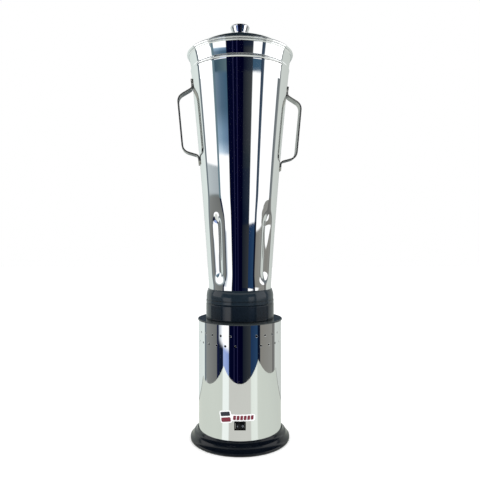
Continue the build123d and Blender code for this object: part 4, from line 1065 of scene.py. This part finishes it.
# from the ceiling down: the elevation in degrees at which a level gives way to the one
# under it, the width of that change, and the strips of the level that differ from STRIPS
STUDIO = (
    (7.2, 0.25, {"right_window": ((56, 83, 105), (60, 88, 110))}),
    (
        2.9,
        2.6,
        {
            "left_wall": ((104, 122, 138), (80, 104, 124)),
            "left_window": ((76, 100, 120), (60, 88, 110)),
            "grey_wall": ((26, 30, 40), (60, 64, 66)),
        },
    ),
    (
        0.5,
        1.6,
        {
            "left_wall": ((134, 158, 178), (118, 144, 166)),
            "left_window": ((112, 140, 162), (92, 116, 144)),
            "grey_wall": ((26, 30, 40), (56, 60, 64)),
        },
    ),
    (
        -0.2,
        0.5,
        {
            "left_wall": ((196, 214, 228), (180, 200, 216)),
            "left_window": ((172, 194, 212), (146, 164, 184)),
            "grey_wall": ((24, 30, 40), (50, 56, 60)),
        },
    ),
    (-1.4, 0.35, dict(WINDOWS, grey_wall=((22, 28, 40), (44, 52, 58)))),
    (
        -5.0,
        2.2,
        dict(
            WINDOWS,
            left_panel=((176, 184, 186), (158, 166, 170)),
            grey_wall=((16, 24, 42), (36, 44, 56)),
        ),
    ),
    (
        -6.7,
        0.3,
        dict(
            WINDOWS,
            left_panel=((126, 130, 128), (106, 112, 112)),
            grey_wall=((10, 18, 38), (26, 36, 52)),
        ),
    ),
    (-7.7, 0.4, {**LOW_GREY, **WINDOWS, "right_panel": (WHITE, WHITE)}),
    (-13.0, 1.0, dict(LOW_GREY, left_wall=((150, 160, 172), WHITE), left_window=(WHITE, WHITE))),
    (-20.5, 1.0, LOW_GREY),
    (-90.0, 0.1, dict(LOW_GREY, left_panel=(WHITE, WHITE), right_panel=(WHITE, WHITE))),
)

SIDE_RISE = 11.5  # degrees that the level lines gain behind the object
CEILING_LIFT = 25.0
CEILING_TONE = (240, 243, 241)
GROUND_LIFT = -24.0
GROUND_TONE = (206, 209, 203)
EDGE_BLEND = 4.0
OVERHEAD_LIFT = 34.0
OVERHEAD_TONE = (25, 35, 42)
FRONT_OVERHEAD_LIFT = 32.0
FRONT_OVERHEAD_BLEND = 6.0
FRONT_SHARE = 0.27
FRONT_BLEND = 0.1
MIRROR_BOOST = 0.16

world = bpy.data.worlds.new("studio")
world.use_nodes = True
bpy.context.scene.world = world
air = world.node_tree
direction = add_node(air, "ShaderNodeTexCoord").outputs["Generated"]
share, rise = azimuth(air, direction)
lift = maths(air, "MULTIPLY", maths(air, "ARCSINE", rise), 180 / pi)
# the studio's level lines sit higher toward its sides, so that they look level in a tapered cup
half_turn = maths(air, "MULTIPLY", maths(air, "SUBTRACT", share, 0.5), pi)
sag = maths(air, "MULTIPLY", maths(air, "SUBTRACT", 1.0, maths(air, "COSINE", half_turn)), SIDE_RISE)
elevation = maths(air, "SUBTRACT", lift, sag)


def above(tree, value, middle, width):
    """0 below a height, 1 above it, changing over a width."""
    rises = add_node(tree, "ShaderNodeMapRange", interpolation_type="SMOOTHSTEP")
    rises.inputs["From Min"].default_value = middle - width / 2
    rises.inputs["From Max"].default_value = middle + width / 2
    tree.links.new(value, rises.inputs["Value"])
    return rises.outputs["Result"]


colour = studio_level(air, share, STUDIO[0][2])
for (middle, width, _), (_, _, changes) in zip(STUDIO, STUDIO[1:]):
    colour = blended(air, above(air, elevation, middle, width), studio_level(air, share, changes), colour)
colour = blended(air, above(air, lift, CEILING_LIFT, EDGE_BLEND), colour, linear(*CEILING_TONE))
colour = blended(air, above(air, lift, GROUND_LIFT, EDGE_BLEND), linear(*GROUND_TONE), colour)
off_front = maths(air, "ABSOLUTE", maths(air, "SUBTRACT", share, 0.5))
in_front = maths(air, "SUBTRACT", 1.0, above(air, off_front, FRONT_SHARE, FRONT_BLEND))
front_overhead = above(air, lift, FRONT_OVERHEAD_LIFT, FRONT_OVERHEAD_BLEND)
dark_over = maths(
    air,
    "MAXIMUM",
    above(air, lift, OVERHEAD_LIFT, EDGE_BLEND),
    maths(air, "MULTIPLY", front_overhead, in_front),
)
colour = blended(air, dark_over, colour, linear(*OVERHEAD_TONE))
mirrored = add_node(air, "ShaderNodeLightPath").outputs["Is Glossy Ray"]
seen = blended(air, mirrored, (1.0, 1.0, 1.0, 1.0), colour)
air.links.new(seen, air.nodes["Background"].inputs["Color"])
strength = maths(air, "ADD", maths(air, "MULTIPLY", mirrored, MIRROR_BOOST), 1.0)
air.links.new(strength, air.nodes["Background"].inputs["Strength"])


def staged_material(name, colour, glow):
    """A plain material for the floor: a pale diffuse with some light of its own."""
    material = bpy.data.materials.new(name)
    material.use_nodes = True
    shader = material.node_tree.nodes["Principled BSDF"]
    shader.inputs["Base Color"].default_value = linear(*colour)
    shader.inputs["Roughness"].default_value = 0.9
    shader.inputs["Emission Color"].default_value = (1.0, 1.0, 1.0, 1.0)
    shader.inputs["Emission Strength"].default_value = glow
    return material


FLOOR_HALF = 6.0
floor = sheet(
    "floor",
    [
        (-FLOOR_HALF, -FLOOR_HALF, 0),
        (FLOOR_HALF, -FLOOR_HALF, 0),
        (FLOOR_HALF, FLOOR_HALF, 0),
        (-FLOOR_HALF, FLOOR_HALF, 0),
    ],
    staged_material("pale_floor", (246, 246, 246), 0.2),
)
floor.visible_glossy = False

# the table top that only the polished steel sees: a glowing card with the streaks of light from the two
# windows painted on it
TABLE_FOCUS = 0.039  # how far in front of the axis the streaks meet
table_look = bpy.data.materials.new("table_top")
table_look.use_nodes = True
table_tree = table_look.node_tree
table_tree.nodes.remove(table_tree.nodes["Principled BSDF"])
from_front = add_node(table_tree, "ShaderNodeMapping", Location=(0.0, TABLE_FOCUS, 0.0))
table_tree.links.new(
    add_node(table_tree, "ShaderNodeTexCoord").outputs["Object"], from_front.inputs["Vector"]
)
table_share, _ = azimuth(table_tree, from_front.outputs["Vector"])
TABLE_PALE = (208, 214, 204)
TABLE_GREY = (204, 205, 198)
TABLE_PAINTED_WINDOW_LIGHT = (246, 252, 247)
# azimuth in degrees and display colour; the two bright bands are painted window light
table_stops = (
    (-120, TABLE_PALE),
    (-48.5, TABLE_PALE),
    (-47, TABLE_PAINTED_WINDOW_LIGHT),
    (-31, TABLE_PAINTED_WINDOW_LIGHT),
    (-29, TABLE_GREY),
    (28, TABLE_GREY),
    (31, (230, 237, 228)),
    (46, (234, 240, 232)),
    (49, TABLE_PALE),
    (120, (200, 206, 197)),
)
table_colour = ramp_node(
    table_tree, table_share, [(angle / 360 + 0.5, tone) for angle, tone in table_stops]
)
table_glow = add_node(table_tree, "ShaderNodeEmission")
table_tree.links.new(table_colour, table_glow.inputs["Color"])
table_tree.links.new(
    table_glow.outputs["Emission"], table_tree.nodes["Material Output"].inputs["Surface"]
)
TABLE_LEFT = -0.466
TABLE_RIGHT = 0.57
TABLE_FRONT = -0.507
TABLE_BACK = 0.215
TABLE_Z = 0.0005
RAIL_HALF = 0.006
RAIL_Z = 0.0008
KNOB_CARD_X = 0.16
KNOB_CARD_NEAR = -0.12
KNOB_CARD_FAR = -0.03
KNOB_CARD_LOW = 0.7
KNOB_CARD_HIGH = 0.775


def level_sheet(name, left, right, near, far, z, material):
    """A level staged rectangle."""
    corners = [(left, near, z), (right, near, z), (right, far, z), (left, far, z)]
    return sheet(name, corners, material)


table = level_sheet("table", TABLE_LEFT, TABLE_RIGHT, TABLE_FRONT, TABLE_BACK, TABLE_Z, table_look)
edge_look = staged_material("table_edge", (96, 98, 94), 0.0)
rail_near = TABLE_BACK - RAIL_HALF
rail_far = TABLE_BACK + RAIL_HALF
rail = level_sheet("table_rail", TABLE_LEFT, TABLE_RIGHT, rail_near, rail_far, RAIL_Z, edge_look)
# two small pale cards beside the lid, for the sides of the knob
knob_look = staged_material("knob_card", (255, 255, 255), 1.0)
knob_cards = [
    sheet(
        f"knob_card_{side}",
        [
            (x, KNOB_CARD_NEAR, KNOB_CARD_LOW),
            (x, KNOB_CARD_FAR, KNOB_CARD_LOW),
            (x, KNOB_CARD_FAR, KNOB_CARD_HIGH),
            (x, KNOB_CARD_NEAR, KNOB_CARD_HIGH),
        ],
        knob_look,
    )
    for side, x in (("left", -KNOB_CARD_X), ("right", KNOB_CARD_X))
]
for card in [table, rail] + knob_cards:
    card.visible_camera = False
    card.visible_diffuse = False
    card.visible_shadow = False


LIGHT_SIZE = 1.8
LIGHT_AIM = (0.0, 0.0, 0.35)


def soft_light(name, place, power):
    """A large square light that looks at the middle of the object."""
    data = bpy.data.lights.new(name, "AREA")
    data.size = LIGHT_SIZE
    data.energy = power
    lamp = bpy.data.objects.new(name, data)
    bpy.context.scene.collection.objects.link(lamp)
    lamp.location = place
    aim = np.array(LIGHT_AIM) - np.array(place)
    lamp.rotation_euler = (
        atan2(sqrt(aim[0] ** 2 + aim[1] ** 2), -aim[2]),
        0.0,
        atan2(-aim[0], aim[1]),
    )
    lamp.visible_glossy = False
    return lamp


soft_light("key_light", (-1.6, -1.9, 2.2), 16.0)
soft_light("fill_light", (2.0, -1.2, 1.6), 10.0)
soft_light("back_light", (0.6, 2.2, 2.0), 10.0)

# ---------------------------------------------------------------- camera, in metres and degrees
CAMERA_DISTANCE = 0.969
CAMERA_HEIGHT = 0.384
VIEW_ANGLE = 51.73
lens = bpy.data.cameras.new("camera")
lens.angle = radians(VIEW_ANGLE)
camera = bpy.data.objects.new("camera", lens)
camera.location = (0.0, -CAMERA_DISTANCE, CAMERA_HEIGHT)
camera.rotation_euler = (pi / 2, 0.0, 0.0)
bpy.context.scene.collection.objects.link(camera)
bpy.context.scene.camera = camera
bpy.context.scene.view_settings.view_transform = "Standard"
